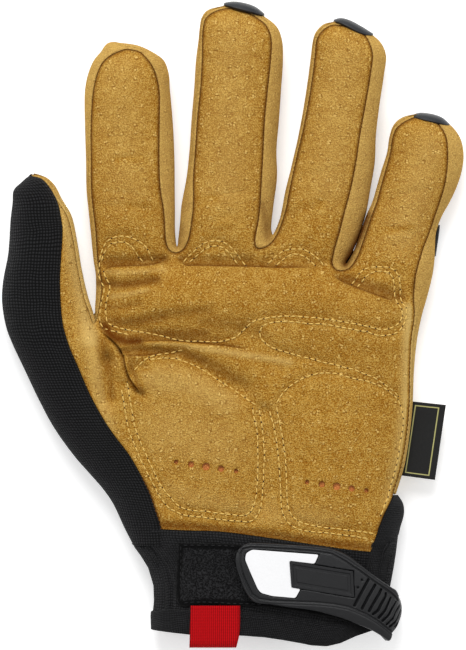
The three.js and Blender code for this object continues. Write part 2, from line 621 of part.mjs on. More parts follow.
// Height of the cuff's upper side, raised by a clearance
const cuffTopZ = (x, grow) => {
  const middle = (CUFF_MEAN.left + CUFF_MEAN.right) / 2;
  const half = (CUFF_MEAN.right - CUFF_MEAN.left) / 2 + grow;
  const rest = 1 - Math.min(Math.abs(x - middle) / half, 1) ** CUFF_SQUARE;
  const halfHeight = (CUFF_TOP - CUFF_BOTTOM) / 2 + grow;
  return (CUFF_TOP + CUFF_BOTTOM) / 2 + halfHeight * rest ** (1 / CUFF_SQUARE);
};

// Loop patch: the fuzzy tape across the cuff
const PATCH_THICK = 0.9;
const PATCH_LIFT = 0.7;
const PATCH = { left: -21, right: 46, hemGap: 0.6, leatherGap: 0.8 };
const patchX = [0, 0.25, 0.5, 0.75, 1].map((t) => lerp(PATCH.left, PATCH.right, t));
const patchOutline = [
  ...patchX.map((x) => v2(x, hemTop(x) + PATCH.hemGap)),
  ...patchX.slice().reverse().map((x) => v2(x, leatherEdgeY(x) - PATCH.leatherGap)),
];
const patchHeight = (x) => cuffTopZ(x, PATCH_LIFT) + PATCH_THICK;
add("loop_patch", toGeometry(drapedPiece(patchOutline, patchHeight, PATCH_THICK, PAD_GRID)), blackTextile);

// Closure tab: a moulded rubber strip that lies over the cuff and wraps round its little finger side. A row
// is one section across the tab: its place along the flattened tube and its two long edges.
const TAB_SECTION = ["x", "yLow", "yHigh"];
const TAB = named(TAB_SECTION, [
  [1.0, -95.4, -91.2],
  [2.8, -100.8, -88.2],
  [5.2, -106.8, -86.6],
  [8.4, -110.6, -86.6],
  [15.0, -111.2, -87.0],
  [23.0, -112.4, -87.8],
  [31.0, -113.6, -88.9],
  [38.8, -115.6, -90.2],
  [44.8, -117.6, -91.8],
  [50.8, -120.4, -95.6],
  [54.8, -122.4, -99.0],
  [58.8, -124.0, -101.6],
  [62.4, -125.4, -103.8],
]);
const TAB_SIDE = named(["z", "yLow", "yHigh"], [
  [19, -124.4, -105.6],
  [15, -122.8, -107.6],
  [10, -121.6, -108.6],
  [5, -121.0, -109.0],
]);
const TAB_REACH = 67.3; // the outermost face of the tab beside the cuff
const TAB_TOP = 26.2;
const TAB_CORNER = 9; // radius of the bend from the top of the cuff to its side
const TAB_COLUMNS = 4;
const bendX = TAB_REACH - TAB_CORNER;
const tabTopZ = (x) => TAB_TOP - TAB_CORNER + Math.sqrt(TAB_CORNER ** 2 - Math.max(x - bendX, 0) ** 2);
const tabStations = [
  ...TAB.map((row) => ({ ...row, z: tabTopZ(row.x) })),
  ...TAB_SIDE.map((row) => {
    const down = Math.max(row.z - (TAB_TOP - TAB_CORNER), 0);
    return { ...row, x: bendX + Math.sqrt(TAB_CORNER ** 2 - down ** 2) };
  }),
];
const tabOuter = tabStations.map((row) => Array.from({ length: TAB_COLUMNS + 1 }, (_, j) =>
  new THREE.Vector3(row.x, lerp(row.yLow, row.yHigh, j / TAB_COLUMNS), row.z)));
const tabInner = offsetGrid(tabOuter, -TAB_THICK);
const INSET_OUTLINE = [
  v2(6.0, -89.4), v2(8.0, -89.2), v2(34.0, -91.2), v2(32.6, -94.4), v2(22.4, -93.8), v2(23.2, -104),
  v2(26.4, -105.2), v2(24.6, -108.4), v2(15.0, -107.6), v2(10.4, -105.2), v2(6.2, -97.6), v2(4.8, -93.2),
];
const PLATE_OUTLINE = [v2(22.9, -94.3), v2(47.4, -98.2), v2(47.8, -107.8), v2(23.7, -104.1)];
const INSET_DEPTH = 1.2;
const INSET_LIFT = 0.3; // gap under the inset and the plate
const INSET_THICK = 0.8;
const PLATE_THICK = 1;
const POCKET_HEIGHT = 10;
const grown = (outline, distance) => {
  const turn = THREE.ShapeUtils.isClockWise(outline) ? -1 : 1;
  const normalOf = (p, q) => v2(q.y - p.y, p.x - q.x).normalize().multiplyScalar(turn);
  return outline.map((here, i) => {
    const first = normalOf(outline[(i + outline.length - 1) % outline.length], here);
    const second = normalOf(here, outline[(i + 1) % outline.length]);
    const middle = first.clone().add(second).normalize();
    return here.clone().addScaledVector(middle, distance / middle.dot(first));
  });
};
const pocketFloor = TAB_TOP - INSET_DEPTH;
const pocket = (outline) => toSolid(flatPlate(grown(outline, CLEARANCE), pocketFloor, POCKET_HEIGHT));
let tabSolid = toSolid(wallGeometry(tabOuter, tabInner));
tabSolid = tabSolid.subtract(pocket(INSET_OUTLINE)).subtract(pocket(PLATE_OUTLINE));

// Grooves between the ribs of the tab, from its bend to its end
const GROOVE_COUNT = 9;
const GROOVE_WIDTH = 1.1;
const GROOVE_DEPTH = 1.3;
const GROOVES = { firstX: 52.5, lastX: 65.5, middleY: -111, lean: 0.32 };
for (let i = 0; i < GROOVE_COUNT; i += 1) {
  const x = lerp(GROOVES.firstX, GROOVES.lastX, i / (GROOVE_COUNT - 1));
  const groove = new THREE.BoxGeometry(GROOVE_WIDTH, CUTTER_LENGTH, 2 * GROOVE_DEPTH);
  groove.rotateZ(GROOVES.lean).translate(x, GROOVES.middleY, tabTopZ(x));
  tabSolid = tabSolid.subtract(toSolid(groove));
}
add("closure_tab", toGeometry(tabSolid), blackRubber);
add("tab_inset", flatPlate(INSET_OUTLINE, pocketFloor + INSET_LIFT, INSET_THICK), whitePlastic);
add("tab_plate", flatPlate(PLATE_OUTLINE, pocketFloor + INSET_LIFT, PLATE_THICK), blackRubber);

// Pull loop: a ribbon folded double, sewn to the hem
const RIBBON_WIDTH = 19;
const RIBBON_THICK = 0.9;
const PULL_LOOP = { x: -6.8, topY: -111.6, foldY: -128.4, backY: -117.5, bend: 3.2, innerZ: 17.9, lift: 0.3 };
const hemTopZ = CUFF_TOP + HEM_THICK + HEM_CLEARANCE + PULL_LOOP.lift;
const ribbonLine = (lift) => {
  const outerZ = hemTopZ + lift;
  const innerZ = PULL_LOOP.innerZ - lift;
  const middle = (outerZ + innerZ) / 2;
  const half = (outerZ - innerZ) / 2;
  const bendY = PULL_LOOP.foldY + PULL_LOOP.bend;
  const turn = [0.25, 0.5, 0.75].map((t) => {
    const angle = Math.PI * (0.5 - t);
    return v2(bendY - Math.cos(angle) * (PULL_LOOP.bend + lift), middle + half * Math.sin(angle));
  });
  return [
    v2(PULL_LOOP.topY, outerZ), v2(bendY, outerZ),
    ...turn,
    v2(bendY, innerZ), v2(PULL_LOOP.backY, innerZ),
  ];
};
const ribbonShape = new THREE.Shape([...ribbonLine(RIBBON_THICK), ...ribbonLine(0).reverse()]);
const ribbon = new THREE.ExtrudeGeometry(ribbonShape, { depth: RIBBON_WIDTH, bevelEnabled: false });
const ribbonTurn = new THREE.Matrix4().makeBasis(
  new THREE.Vector3(0, 1, 0), new THREE.Vector3(0, 0, 1), new THREE.Vector3(1, 0, 0));
add("pull_loop", ribbon.applyMatrix4(ribbonTurn).translate(PULL_LOOP.x - RIBBON_WIDTH / 2, 0, 0), redRibbon);

// Side label: a woven tag held in the edge seam
const LABEL_GAP = 0.4;
const LABEL_THICK = 1.2;
const labelSeam = ULNAR_EDGE.slice(1, 4).map((row) => row.edge.clone().add(v2(LABEL_GAP, 0)));
const LABEL_OUTLINE = [v2(67.9, -59.8), ...labelSeam, v2(85.2, -32.4), v2(80.8, -62.0)];
add("side_label", flatPlate(LABEL_OUTLINE, BELLY - LABEL_THICK / 2, LABEL_THICK), blackTextile);

export default glove;
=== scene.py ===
import json
import math

import bpy
import numpy as np
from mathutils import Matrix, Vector, noise
from mathutils.geometry import delaunay_2d_cdt

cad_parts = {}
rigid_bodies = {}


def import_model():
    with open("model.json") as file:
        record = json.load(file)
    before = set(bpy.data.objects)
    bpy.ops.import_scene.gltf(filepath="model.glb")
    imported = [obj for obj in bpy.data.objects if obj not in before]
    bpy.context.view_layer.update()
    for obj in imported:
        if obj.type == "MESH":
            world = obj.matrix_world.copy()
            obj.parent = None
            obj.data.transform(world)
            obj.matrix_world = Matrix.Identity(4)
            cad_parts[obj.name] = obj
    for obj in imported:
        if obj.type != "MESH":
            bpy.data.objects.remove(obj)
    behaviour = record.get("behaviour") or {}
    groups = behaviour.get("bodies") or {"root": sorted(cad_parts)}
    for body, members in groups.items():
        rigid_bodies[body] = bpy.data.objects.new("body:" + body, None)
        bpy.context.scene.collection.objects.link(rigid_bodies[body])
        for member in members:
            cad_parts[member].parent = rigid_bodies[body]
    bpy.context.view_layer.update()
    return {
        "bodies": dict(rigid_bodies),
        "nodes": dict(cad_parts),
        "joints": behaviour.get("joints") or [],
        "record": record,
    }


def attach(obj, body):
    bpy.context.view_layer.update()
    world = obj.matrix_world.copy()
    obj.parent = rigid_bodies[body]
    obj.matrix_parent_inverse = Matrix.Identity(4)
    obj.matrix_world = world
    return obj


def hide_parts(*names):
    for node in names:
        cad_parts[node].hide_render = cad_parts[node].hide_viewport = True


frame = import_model()

# Side strips of suede
# The finger walls, the thumb side and the outer edge of the hand: strips of tan pigskin suede, 1.3 mm thick,
# sewn inside out between the palm leather and the back, so that every seam is a narrow valley.

MM = 0.001  # in metres. A length without a unit in its comment is in mm.
LEATHER = 1.3  # its thickness
BELLY = 9.0  # height of the glove's widest line above the floor
FINGER_HEIGHT = 20.0
THUMB_HEIGHT = 21.0
PALM_HEIGHT = 24.5
WRIST_HEIGHT = 23.2
FINGER_ROLL = 17.0  # how far in from the outline the upper surface is still rounding over
THUMB_ROLL = 15.0
PALM_ROLL = 26.0
FOOT_HEIGHT = 3.3  # where a strip meets the back panel
FOOT_INSET = 3.0
SEAM_ROLL = 1.0  # radius with which an edge turns down into its seam
ROW_STEP = 1.1

# Finger tables, in mm. A row is one section, from the fingertip down: the y of the outline and its x on the
# thumb side and on the little finger side, then the y of the palm seams and their x on the same two sides.
index_finger = np.array([
    [113, -49.6, -45.8, 109.9, -43, -41],
    [111.8, -51.2, -38, 109, -45.6, -37.2],
    [109.4, -52.8, -32.6, 107.4, -48.8, -35.4],
    [106, -55.6, -27.8, 104.8, -51.8, -33.2],
    [101, -57.8, -25.8, 101, -53.8, -31.2],
    [94, -59.2, -25.2, 94, -55.6, -29.5],
    [80, -59.2, -24, 80, -56.6, -29.4],
    [66, -58.8, -23.4, 66, -56.6, -29.5],
    [54, -58.6, -23.3, 54, -56.5, -29],
    [46, -57.8, -23.2, 46, -55.8, -27.7],
    [38, -57, -23.2, 38, -54.8, -27.1],
])
middle_finger = np.array([
    [126.8, -7.6, 3.2, 126, -4.6, 2.4],
    [125.6, -10.6, 8, 124.8, -7.8, 5.8],
    [122.8, -12.6, 13.4, 122.4, -10.8, 9.8],
    [119.2, -13.3, 17.6, 119.2, -11.8, 13.4],
    [114, -13.8, 19.6, 114, -12.2, 15.2],
    [106, -14.8, 20, 106, -12.3, 15],
    [95, -15.5, 19.3, 95, -12.9, 13.9],
    [82, -16.6, 18.4, 82, -14.2, 12.6],
    [70, -17.4, 17.4, 70, -15, 12],
    [59, -18.6, 17.6, 59, -15.8, 11.4],
    [48, -20.6, 16.2, 48, -15.8, 10.8],
    [41, -21.2, 15.4, 41, -16.5, 10],
])
ring_finger = np.array([
    [120.6, 37, 45.8, 119.8, 39.8, 46.4],
    [119, 34.6, 51.2, 118, 36.4, 49.6],
    [116.4, 32.7, 55.2, 115.8, 34.4, 52.4],
    [113, 31.8, 59.1, 113, 33.3, 54.2],
    [108, 31.2, 61.2, 108, 32.8, 55.6],
    [100, 30.2, 60.4, 100, 31.9, 54.8],
    [88, 28.4, 58.6, 88, 30, 52.8],
    [76, 26.2, 57.2, 76, 27.6, 50.6],
    [65, 23.8, 56.7, 65, 25, 49],
    [54, 21, 54.9, 54, 22.6, 46.8],
    [45, 19.3, 53.3, 45, 20.8, 44.4],
])
little_finger = np.array([
    [83.8, 70, 79.6, 82.8, 72.4, 78.4],
    [82.4, 66.6, 83, 81.4, 69, 80.6],
    [79.6, 64, 87.4, 78.8, 65.6, 83],
    [75, 62.5, 90.8, 75, 63.8, 84.9],
    [69, 61.6, 92.2, 69, 62.9, 85.5],
    [62, 59.4, 91.6, 62, 61, 85.3],
    [55, 57.4, 89.4, 55, 59, 84.2],
    [49, 55.6, 86.6, 49, 57.4, 82.4],
    [43.6, 53.2, 83.6, 43, 55.2, 80.4],
    [37, 50.9, 81.2, 37, 53.2, 78.4],
    [31, 48.8, 80.8, 31, 51.1, 76],
])

# Rails, in mm: the x and y of the palm seam, then the x and y of the outline beside it.
INDEX_TIP = [[-42.0, 110.0, -47.6, 113.3]]
MIDDLE_TIP = [[-1.0, 126.6, -2.2, 127.6]]
RING_TIP = [[43.0, 119.6, 41.4, 121.2]]
LITTLE_TIP = [[75.4, 83.0, 75.0, 84.4]]
THUMB_TIP = [[-80.0, 59.4, -80.6, 60.0]]
index_middle_crotch = [
    [-26.8, 33.2, -22.9, 34.2], [-25.4, 29.9, -22.7, 32.3], [-23, 28.8, -22.4, 31.5],
    [-20.4, 29.7, -22.1, 32.2], [-18.2, 33, -21.9, 34.4],
]
middle_ring_crotch = [
    [8.7, 33.4, 15.3, 38.2], [9.3, 30.8, 15.6, 36.7], [11.8, 30.7, 15.9, 36.2],
    [14.6, 32.2, 16.5, 36.6], [17.4, 36, 17.5, 38.6],
]
ring_little_crotch = [
    [42.4, 37, 51.7, 39.4], [40.2, 29, 49.6, 33.2], [39.6, 24, 47.2, 28.2], [42.2, 21.7, 45.2, 25.2],
    [46, 22.4, 45.6, 25], [49.2, 26.4, 47.5, 28],
]
outer_edge = [
    [64, -66.8, 65.4, -66.6], [67.2, -56, 68.6, -55.6], [69.2, -44, 70.6, -43.8],
    [70.3, -32, 71.8, -32], [70.5, -18, 72.4, -18], [71, -6, 73.6, -6],
    [72.3, 4, 75.6, 4], [72, 11, 77.6, 11], [72.8, 20, 79.8, 20], [74.4, 26, 80.6, 26],
]
gusset_edge = [
    [55.3, -88, 65.6, -88], [57.8, -81.6, 66.8, -81.6], [60.2, -75.6, 68.4, -75.6],
    [62.6, -70.8, 68, -71.2], [63.7, -68.2, 66, -68],
]
index_root = [
    [-54, 25.2, -55.7, 25.2], [-53.2, 21, -55, 21], [-52.4, 16.4, -54.8, 16.8],
    [-52.8, 11, -54.9, 11.4], [-53.6, 5.8, -55.2, 6.6],
]
thumb_web = [[-55.6, 0.6, -55.2, 2.2]]
thumb_inner = [
    [-57.2, 4.4, -56, 5.4], [-59.3, 10.4, -57.9, 11.2], [-61.8, 21.6, -60.4, 22],
    [-63.8, 34, -62.4, 34], [-66.2, 43.4, -64.6, 43.8],
]
thumb_tip_inner = [[-70.2, 49.6, -68.4, 50.4], [-73.0, 54.6, -71.4, 56.0], [-76.2, 58.2, -75.4, 59.4]]
thumb_tip_outer = [[-76.2, 58.2, -85.2, 56.6], [-73.0, 54.6, -87.8, 53.8], [-70.2, 49.6, -88.2, 48.8]]
thumb_outer = [
    [-68.6, 42.4, -89, 42], [-68, 36.8, -89.4, 35], [-68.5, 28, -90, 28],
    [-69, 17, -92, 17.4], [-68.7, 9, -92.4, 9.4], [-67.8, 0.2, -90.8, -0.6],
    [-65.4, -8.2, -88.2, -7.6], [-61.2, -18, -83.4, -17.8], [-56, -29.6, -77.4, -30.4],
    [-49.2, -41.2, -71.4, -41.4], [-41.2, -52, -63.2, -52.8], [-37, -59.2, -57.2, -59.6],
    [-33.2, -66.8, -52, -65.6], [-31, -73.2, -48, -71.4],
]
thumb_wrist = [[-28.6, -81.2, -43.4, -81.2], [-28.0, -88.0, -39.8, -88.2]]


def thumb_side(finger):
    return finger[:, [4, 3, 1, 0]].tolist()


def little_side(finger):
    return finger[:, [5, 3, 2, 0]].tolist()


# The strips go round the glove counter-clockwise, from the wrist slit up to the fingertips and down the
# thumb.
STRIPS = {
    "wrist_gusset": gusset_edge,
    "ulnar_side": outer_edge + little_side(little_finger)[::-1] + LITTLE_TIP,
    "fourchette_ring_little": (
        LITTLE_TIP + thumb_side(little_finger) + ring_little_crotch[::-1]
        + little_side(ring_finger)[::-1] + RING_TIP),
    "fourchette_middle_ring": (
        RING_TIP + thumb_side(ring_finger) + middle_ring_crotch[::-1]
        + little_side(middle_finger)[::-1] + MIDDLE_TIP),
    "fourchette_index_middle": (
        MIDDLE_TIP + thumb_side(middle_finger) + index_middle_crotch[::-1]
        + little_side(index_finger)[::-1] + INDEX_TIP),
    "index_thumb_side": (
        INDEX_TIP + thumb_side(index_finger) + index_root + thumb_web + thumb_inner + thumb_tip_inner
        + THUMB_TIP),
    "thumb_back": THUMB_TIP + thumb_tip_outer + thumb_outer + thumb_wrist,
}


def bell(value, width):
    """A bell curve, 1 at a value of 0 and almost 0 from two widths on."""
    return np.exp(-(value / width) ** 2)


def smoothstep(low, high, value):
    t = np.clip((value - low) / (high - low), 0, 1)
    return t * t * (3 - 2 * t)


def spline(points, step):
    """Points about a step apart on a smooth curve through the given ones, and where those lie among them."""
    points = np.asarray(points, float)
    gaps = np.linalg.norm(np.diff(points, axis=0), axis=1)
    knots = np.concatenate([[0], np.cumsum(np.sqrt(gaps))])
    slopes = np.diff(points, axis=0) / np.diff(knots)[:, None]
    tangents = np.vstack([slopes[:1], slopes[:-1], slopes[-1:]])[: len(points)]
    before, after = np.diff(knots)[:-1, None], np.diff(knots)[1:, None]
    tangents[1:-1] = (slopes[:-1] * after + slopes[1:] * before) / (before + after)
    tangents[-1] = slopes[-1]
    found, places = [], [0]
    for i, gap in enumerate(gaps):
        count = max(int(math.ceil(gap / step)), 1)
        t = (np.arange(count) / count)[:, None]
        span = knots[i + 1] - knots[i]
        found.append(
            points[i] * (2 * t**3 - 3 * t**2 + 1) + points[i + 1] * (3 * t**2 - 2 * t**3)
            + tangents[i] * span * (t**3 - 2 * t**2 + t) + tangents[i + 1] * span * (t**3 - t**2))
        places.append(places[-1] + count)
    return np.vstack(found + [points[-1:]]), places


all_rows, first_row = [], {}
for piece, rows in STRIPS.items():
    shared = bool(all_rows) and rows[0] == all_rows[-1]
    first_row[piece] = len(all_rows) - shared
    all_rows += rows[shared:]
smooth_rows, row_places = spline(all_rows, ROW_STEP * math.sqrt(2))


def rows_of(piece):
    first = first_row[piece]
    return smooth_rows[row_places[first]:row_places[first + len(STRIPS[piece]) - 1] + 1]


# The outline runs on down the cuff, so that the wrist doesn't count as an end.
CUFF_LITTLE_EDGE = [[65, -125], [65, -100], [65.6, -88]]
CUFF_THUMB_EDGE = [[-39.8, -88.2], [-34, -100], [-32, -125]]
OUTLINE_STEP = 0.5
outline_fine = np.vstack(
    [spline(line, OUTLINE_STEP)[0] for line in (CUFF_LITTLE_EDGE, smooth_rows[:, 2:], CUFF_THUMB_EDGE)])
outline_step = np.linalg.norm(np.diff(outline_fine, axis=0), axis=1)
outline_middle = (outline_fine[1:] + outline_fine[:-1]) / 2

# Broad hollows of the palm side, in mm: from and to, depth and half width. A negative depth is a swelling.
hollows = [
    ((-50, 26), (-29, 26), 2.6, 8),
    ((-18, 26), (8, 25.5), 2.6, 8),
    ((18, 26), (38, 25), 2.2, 8),
    ((54, 18), (74, 12), 1.8, 7),
    ((-44, -4), (4, -5.8), 2.4, 7),
    ((-46, 10), (-40, 4), 1.2, 8),
    ((-24, -11.5), (4.5, -26), 1.6, 5),
    ((14, -14), (40, -15), 1.2, 6),
    ((-14, -42), (-12, -54), -1.0, 13.0),
    ((38, -42), (40, -64), -0.9, 13),
    ((50, 0), (62, -8), -0.8, 8),
]
# Narrower dents, given the same way
dents = [
    ((-54, -1), (-50, -14), 3.6, 2.6),
    ((-50, -14), (-50, -30), 3.2, 3.4),
    ((-50, 26), (-28, 25.6), 1.3, 2.2),
    ((-20, 25.8), (6, 25.4), 1.3, 2.2),
    ((14, 25.4), (40, 24.4), 1.1, 2.2),
    ((46, 18.4), (66, 12.4), 1.3, 2.2),
    ((-45, -1.6), (-12, 0.6), 1, 3.2),
    ((-33, 3), (-10, 5.5), 0.8, 2.6),
    ((-44, -10.5), (-30, -9.6), 1.3, 1.6),
    ((-22, -11.5), (4, -25), 1.5, 4.2),
    ((4, -25), (10, -34), 1.3, 3.6),
    ((-51, 16), (-34, 18.5), 1, 2),
    ((12.5, -34), (13.5, -74), 1.2, 2.4),
    ((-46, -22), (-36, -28), 1, 1.6),
]
wrinkles = [
    ((-47, 66.2), (-36, 67.4), 0.45, 0.9),
    ((-52, 53), (-38, 52.2), 0.4, 1),
    ((-50, 47.5), (-31, 46.6), 0.45, 1.1),
    ((-12, 50.5), (6, 53.5), 0.4, 1.2),
    ((-15, 38.5), (-2, 43.5), 0.55, 1.4),
    ((24, 58), (40, 62), 0.35, 1.3),
    ((22, 45), (36, 49), 0.45, 1.4),
    ((60, 50), (76, 54), 0.4, 1.2),
    ((57, 40), (72, 36), 0.45, 1.3),
    ((-86, 12), (-72, 6), 0.5, 2),
    ((-80, -4), (-70, -9), 0.5, 2),
]

PHOTO_SCALE = 0.4  # mm of glove for each pixel of the photograph
PHOTO_ORIGIN = (-93.2, 130.0)  # where the photograph's upper left corner lies
STROKE_DEPTH = 1.1  # how far the strongest stroke sinks the surface where shade is painted, or raises it where a highlight is
STROKE_STEP = 2.0
# Strokes of painted shade and painted highlight on the suede, each a line and half width in photo pixels,
# and a strength. The shade is painted in folds, hollows and gaps, and the highlight on ridges and on sides
# that catch the light. The strokes also sink and raise the surface.
painted_shade_strokes = [
    ([(104, 263), (130, 262), (166, 259)], 4.5, 0.68),
    ([(180, 259), (215, 261), (262, 262)], 3.5, 0.42),
    ([(275, 262), (322, 264)], 3.5, 0.3),
    ([(344, 278), (368, 287), (400, 298)], 5.5, 0.7),
    ([(100, 283), (120, 285), (158, 280)], 4.5, 0.78),
    ([(104, 307), (118, 307), (138, 303)], 4, 0.42),
    ([(102, 321), (130, 322), (165, 317)], 5.5, 0.5),
    ([(150, 319), (180, 314), (208, 311)], 5.5, 0.36),
    ([(104, 329), (116, 338), (130, 339), (160, 335), (205, 334)], 6, 0.6),
    ([(105, 326), (113, 336), (128, 341), (140, 341)], 7.0, 1.0),
    ([(205, 322), (240, 326), (262, 333)], 8, 0.3),
    ([(240, 290), (300, 310), (370, 325)], 40, 0.1),
    ([(124, 351), (150, 350), (180, 353), (205, 361)], 5, 0.62),
    ([(190, 357), (212, 366), (232, 379)], 7, 0.36),
    ([(128, 353), (135, 362), (148, 366)], 4, 0.45),
    ([(131, 362), (137, 378), (143, 393)], 3.5, 0.6),
    ([(103, 340), (108, 365), (112, 396)], 4.5, 0.45),
    ([(162, 524), (200, 526), (270, 534), (330, 542), (372, 547)], 5, 0.75),
    ([(367, 216), (360, 235), (351, 252), (345, 264)], 4.5, 1),
    ([(181, 228), (178, 246)], 4, 0.35),
    ([(262, 205), (266, 225), (268, 240)], 4, 0.5),
    ([(118, 161), (145, 160)], 2.5, 0.2),
    ([(130, 206), (155, 210)], 3.5, 0.2),
    ([(185, 206), (215, 199)], 3.5, 0.2),
    ([(195, 232), (235, 228)], 3, 0.22),
    ([(285, 214), (320, 204)], 4, 0.2),
    ([(375, 232), (410, 228)], 3, 0.22),
]
# Painted highlights on ridges, on the thumb side and on the edges that catch the light
painted_highlight_strokes = [
    ([(126, 345), (150, 344), (180, 346), (215, 350), (255, 356), (290, 362)], 3.2, 0.5),
    ([(110, 297), (128, 294), (148, 289)], 3, 0.35),
    ([(104, 272), (135, 272), (165, 270)], 3, 0.3),
    ([(99, 330), (112, 343), (121, 358), (126, 376), (131, 392)], 3.5, 0.6),
    ([(150, 378), (190, 384), (225, 402)], 16, 0.3),
    ([(170, 430), (215, 445)], 34, 0.2),
    ([(64, 200), (76, 250), (86, 300), (92, 340)], 10, 0.8),
    ([(92, 340), (98, 380), (112, 440)], 8, 0.4),
    ([(408, 310), (408, 380), (402, 450), (390, 505)], 7, 0.9),
    ([(165, 490), (230, 505), (330, 520)], 14, 0.18),
    ([(118, 70), (128, 190)], 26, 0.16),
    ([(232, 40), (226, 190)], 26, 0.2),
    ([(345, 60), (328, 185)], 26, 0.2),
    ([(428, 150), (402, 235)], 22, 0.26),
]


def from_photo(pixels):
    """Places in mm from pixel coordinates in the 466 by 650 photograph."""
    across, down = np.asarray(pixels, float).T
    return np.column_stack([PHOTO_ORIGIN[0] + PHOTO_SCALE * across, PHOTO_ORIGIN[1] - PHOTO_SCALE * down])


def away_from(points, start, end):
    """Distance of each point from the line between two places, and the share of the way along it."""
    start, end = np.asarray(start, float), np.asarray(end, float)
    t = np.clip((points - start) @ (end - start) / ((end - start) @ (end - start)), 0, 1)
    return np.linalg.norm(points - start - t[:, None] * (end - start), axis=1), t


def line_distance(points, line):
    """Distance of each point from a line of points."""
    return np.min([away_from(points, start, end)[0] for start, end in zip(line[:-1], line[1:])], axis=0)


def stroked(points, strokes):
    """Strength at each point of the strongest of the strokes."""
    strength = np.zeros(len(points))
    for pixels, half_width, amount in strokes:
        away = line_distance(points, spline(from_photo(pixels), STROKE_STEP)[0])
        strength = np.maximum(strength, amount * bell(away, half_width * PHOTO_SCALE))
    return strength


def add_painted_light(points, painted_shading):
    """The painted shading with the strokes added: positive where shade is painted, negative where a highlight
    is painted.
    """
    painted_shading = np.maximum(painted_shading, stroked(points, painted_shade_strokes))
    return painted_shading - stroked(points, painted_highlight_strokes) * (1 - painted_shading)


# The thumb begins at this x where y is 0, and further out the higher up.
THUMB_LIMIT = -48.5
THUMB_SLANT = 0.22
THUMB_BLEND = 1.5


def on_thumb(points):
    """Share of the thumb in each point. Its seams show neither the painted shade line nor stitches."""
    return smoothstep(0, THUMB_BLEND, THUMB_LIMIT - THUMB_SLANT * points[:, 1] - points[:, 0])


BATCH = 2000  # points that are measured at a time
NEAR_EDGE = 1.2  # where the plain distance from the outline counts


def outline_depth(points):
    """How far each point lies inside the outline, smoothed where two edges are equally near."""
    depth = np.empty(len(points))
    for i in range(0, len(points), BATCH):
        part = points[i:i + BATCH]
        squared = ((part[:, None] - outline_middle[None]) ** 2).sum(-1)
        nearest = np.sqrt(squared.min(1))
        pull = (outline_step / np.maximum(squared, 0.05) ** 2).sum(1)
        soft = (math.pi / 2 / pull) ** (1 / 3)
        depth[i:i + BATCH] = np.where(nearest < NEAR_EDGE, np.minimum(nearest, soft * 1.1), soft)
    return depth


def ripple(points, size, seed):
    """Smooth noise between -1 and 1, with waves of about the given size."""
    return np.array([noise.noise(Vector((x / size, y / size, seed))) for x, y in points])


# Where one part passes into the next: the y of the fingers' roots, the x and the top y of the thumb, and
# the y of the wrist
FINGERS_TO_PALM = (34, 6)
PALM_TO_THUMB = (-52, -64)
THUMB_END = (70, 60)
PALM_TO_WRIST = (-58, -88)
PALM_WAVES = [(0.5, 17, 3.1), (0.28, 6.5, 8.7)]  # height, length and seed


def top_height(points):
    """Height of the palm side: it rounds up from the outline to the crown, less its dents and wrinkles."""
    points = np.asarray(points, float)
    x, y = points.T
    palm = smoothstep(*FINGERS_TO_PALM, y)
    thumb = smoothstep(*PALM_TO_THUMB, x) * smoothstep(*THUMB_END, y)
    crown = FINGER_HEIGHT + (PALM_HEIGHT - FINGER_HEIGHT) * palm
    crown -= (PALM_HEIGHT - WRIST_HEIGHT) * smoothstep(*PALM_TO_WRIST, y)
    crown += (THUMB_HEIGHT - crown) * thumb
    roll = FINGER_ROLL + (PALM_ROLL - FINGER_ROLL) * palm
    roll += (THUMB_ROLL - roll) * thumb
    rise = np.sqrt(1 - (1 - np.minimum(outline_depth(points) / roll, 1)) ** 2)
    sunk = np.zeros(len(points))
    for start, end, depth, half_width in hollows + dents + wrinkles:
        sunk += depth * bell(away_from(points, start, end)[0], half_width)
    sunk += STROKE_DEPTH * (stroked(points, painted_shade_strokes) - stroked(points, painted_highlight_strokes))
    waves = sum(height * ripple(points, size, seed) for height, size, seed in PALM_WAVES)
    return BELLY + (crown - BELLY - sunk + waves) * rise


def turned_down(distance, radius):
    """How far a surface has sunk at a distance from an edge that is rolled under."""
    near = 1 - np.minimum(distance / radius, 1)
    return radius * (1 - np.sqrt(1 - near**2))


def run_along(line):
    """Length along a line of points, from its start to each of them."""
    return np.concatenate([[0], np.cumsum(np.linalg.norm(np.diff(line, axis=0), axis=1))])


def add_mesh(name, points, faces, attributes=None, uv=None):
    """A mesh object from points in mm, with attributes by point and a UV map by point, in metres."""
    mesh = bpy.data.meshes.new(name)
    mesh.from_pydata((np.asarray(points) * MM).tolist(), [], faces)
    for key, values in (attributes or {}).items():
        mesh.attributes.new(key, "FLOAT", "POINT").data.foreach_set("value", np.asarray(values, np.float32))
    if uv is not None:
        layer = mesh.uv_layers.new(name="cloth")
        corner_points = np.empty(len(mesh.loops), np.int32)
        mesh.loops.foreach_get("vertex_index", corner_points)
        layer.data.foreach_set("uv", np.asarray(uv, np.float32)[corner_points].ravel())
    mesh.validate()
    piece = bpy.data.objects.new(name, mesh)
    bpy.context.scene.collection.objects.link(piece)
    mesh.shade_smooth()
    return piece


def grid_faces(rows, columns, loop=False):
    """Faces of a grid of points, whose last column joins the first one in a loop."""
    faces = []
    for start in range(0, (rows - 1) * columns, columns):
        for j in range(columns if loop else columns - 1):
            here, beside = start + j, start + (j + 1) % columns
            faces.append([here, beside, beside + columns, here + columns])
    return faces


def apply_modifier(piece, kind, **settings):
    bpy.ops.object.select_all(action="DESELECT")
    piece.select_set(True)
    bpy.context.view_layer.objects.active = piece
    modifier = piece.modifiers.new(kind.lower(), kind)
    for key, value in settings.items():
        setattr(modifier, key, value)
    bpy.ops.object.modifier_apply(modifier=modifier.name)


def finish_piece(piece, node, material, thickness=0.0):
    """Give a piece its material, its wall and its place in the frame in the CAD node's stead."""
    piece.data.materials.append(material)
    if thickness:
        apply_modifier(piece, "SOLIDIFY", thickness=thickness * MM, offset=-1)
    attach(piece, "root")
    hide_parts(node)


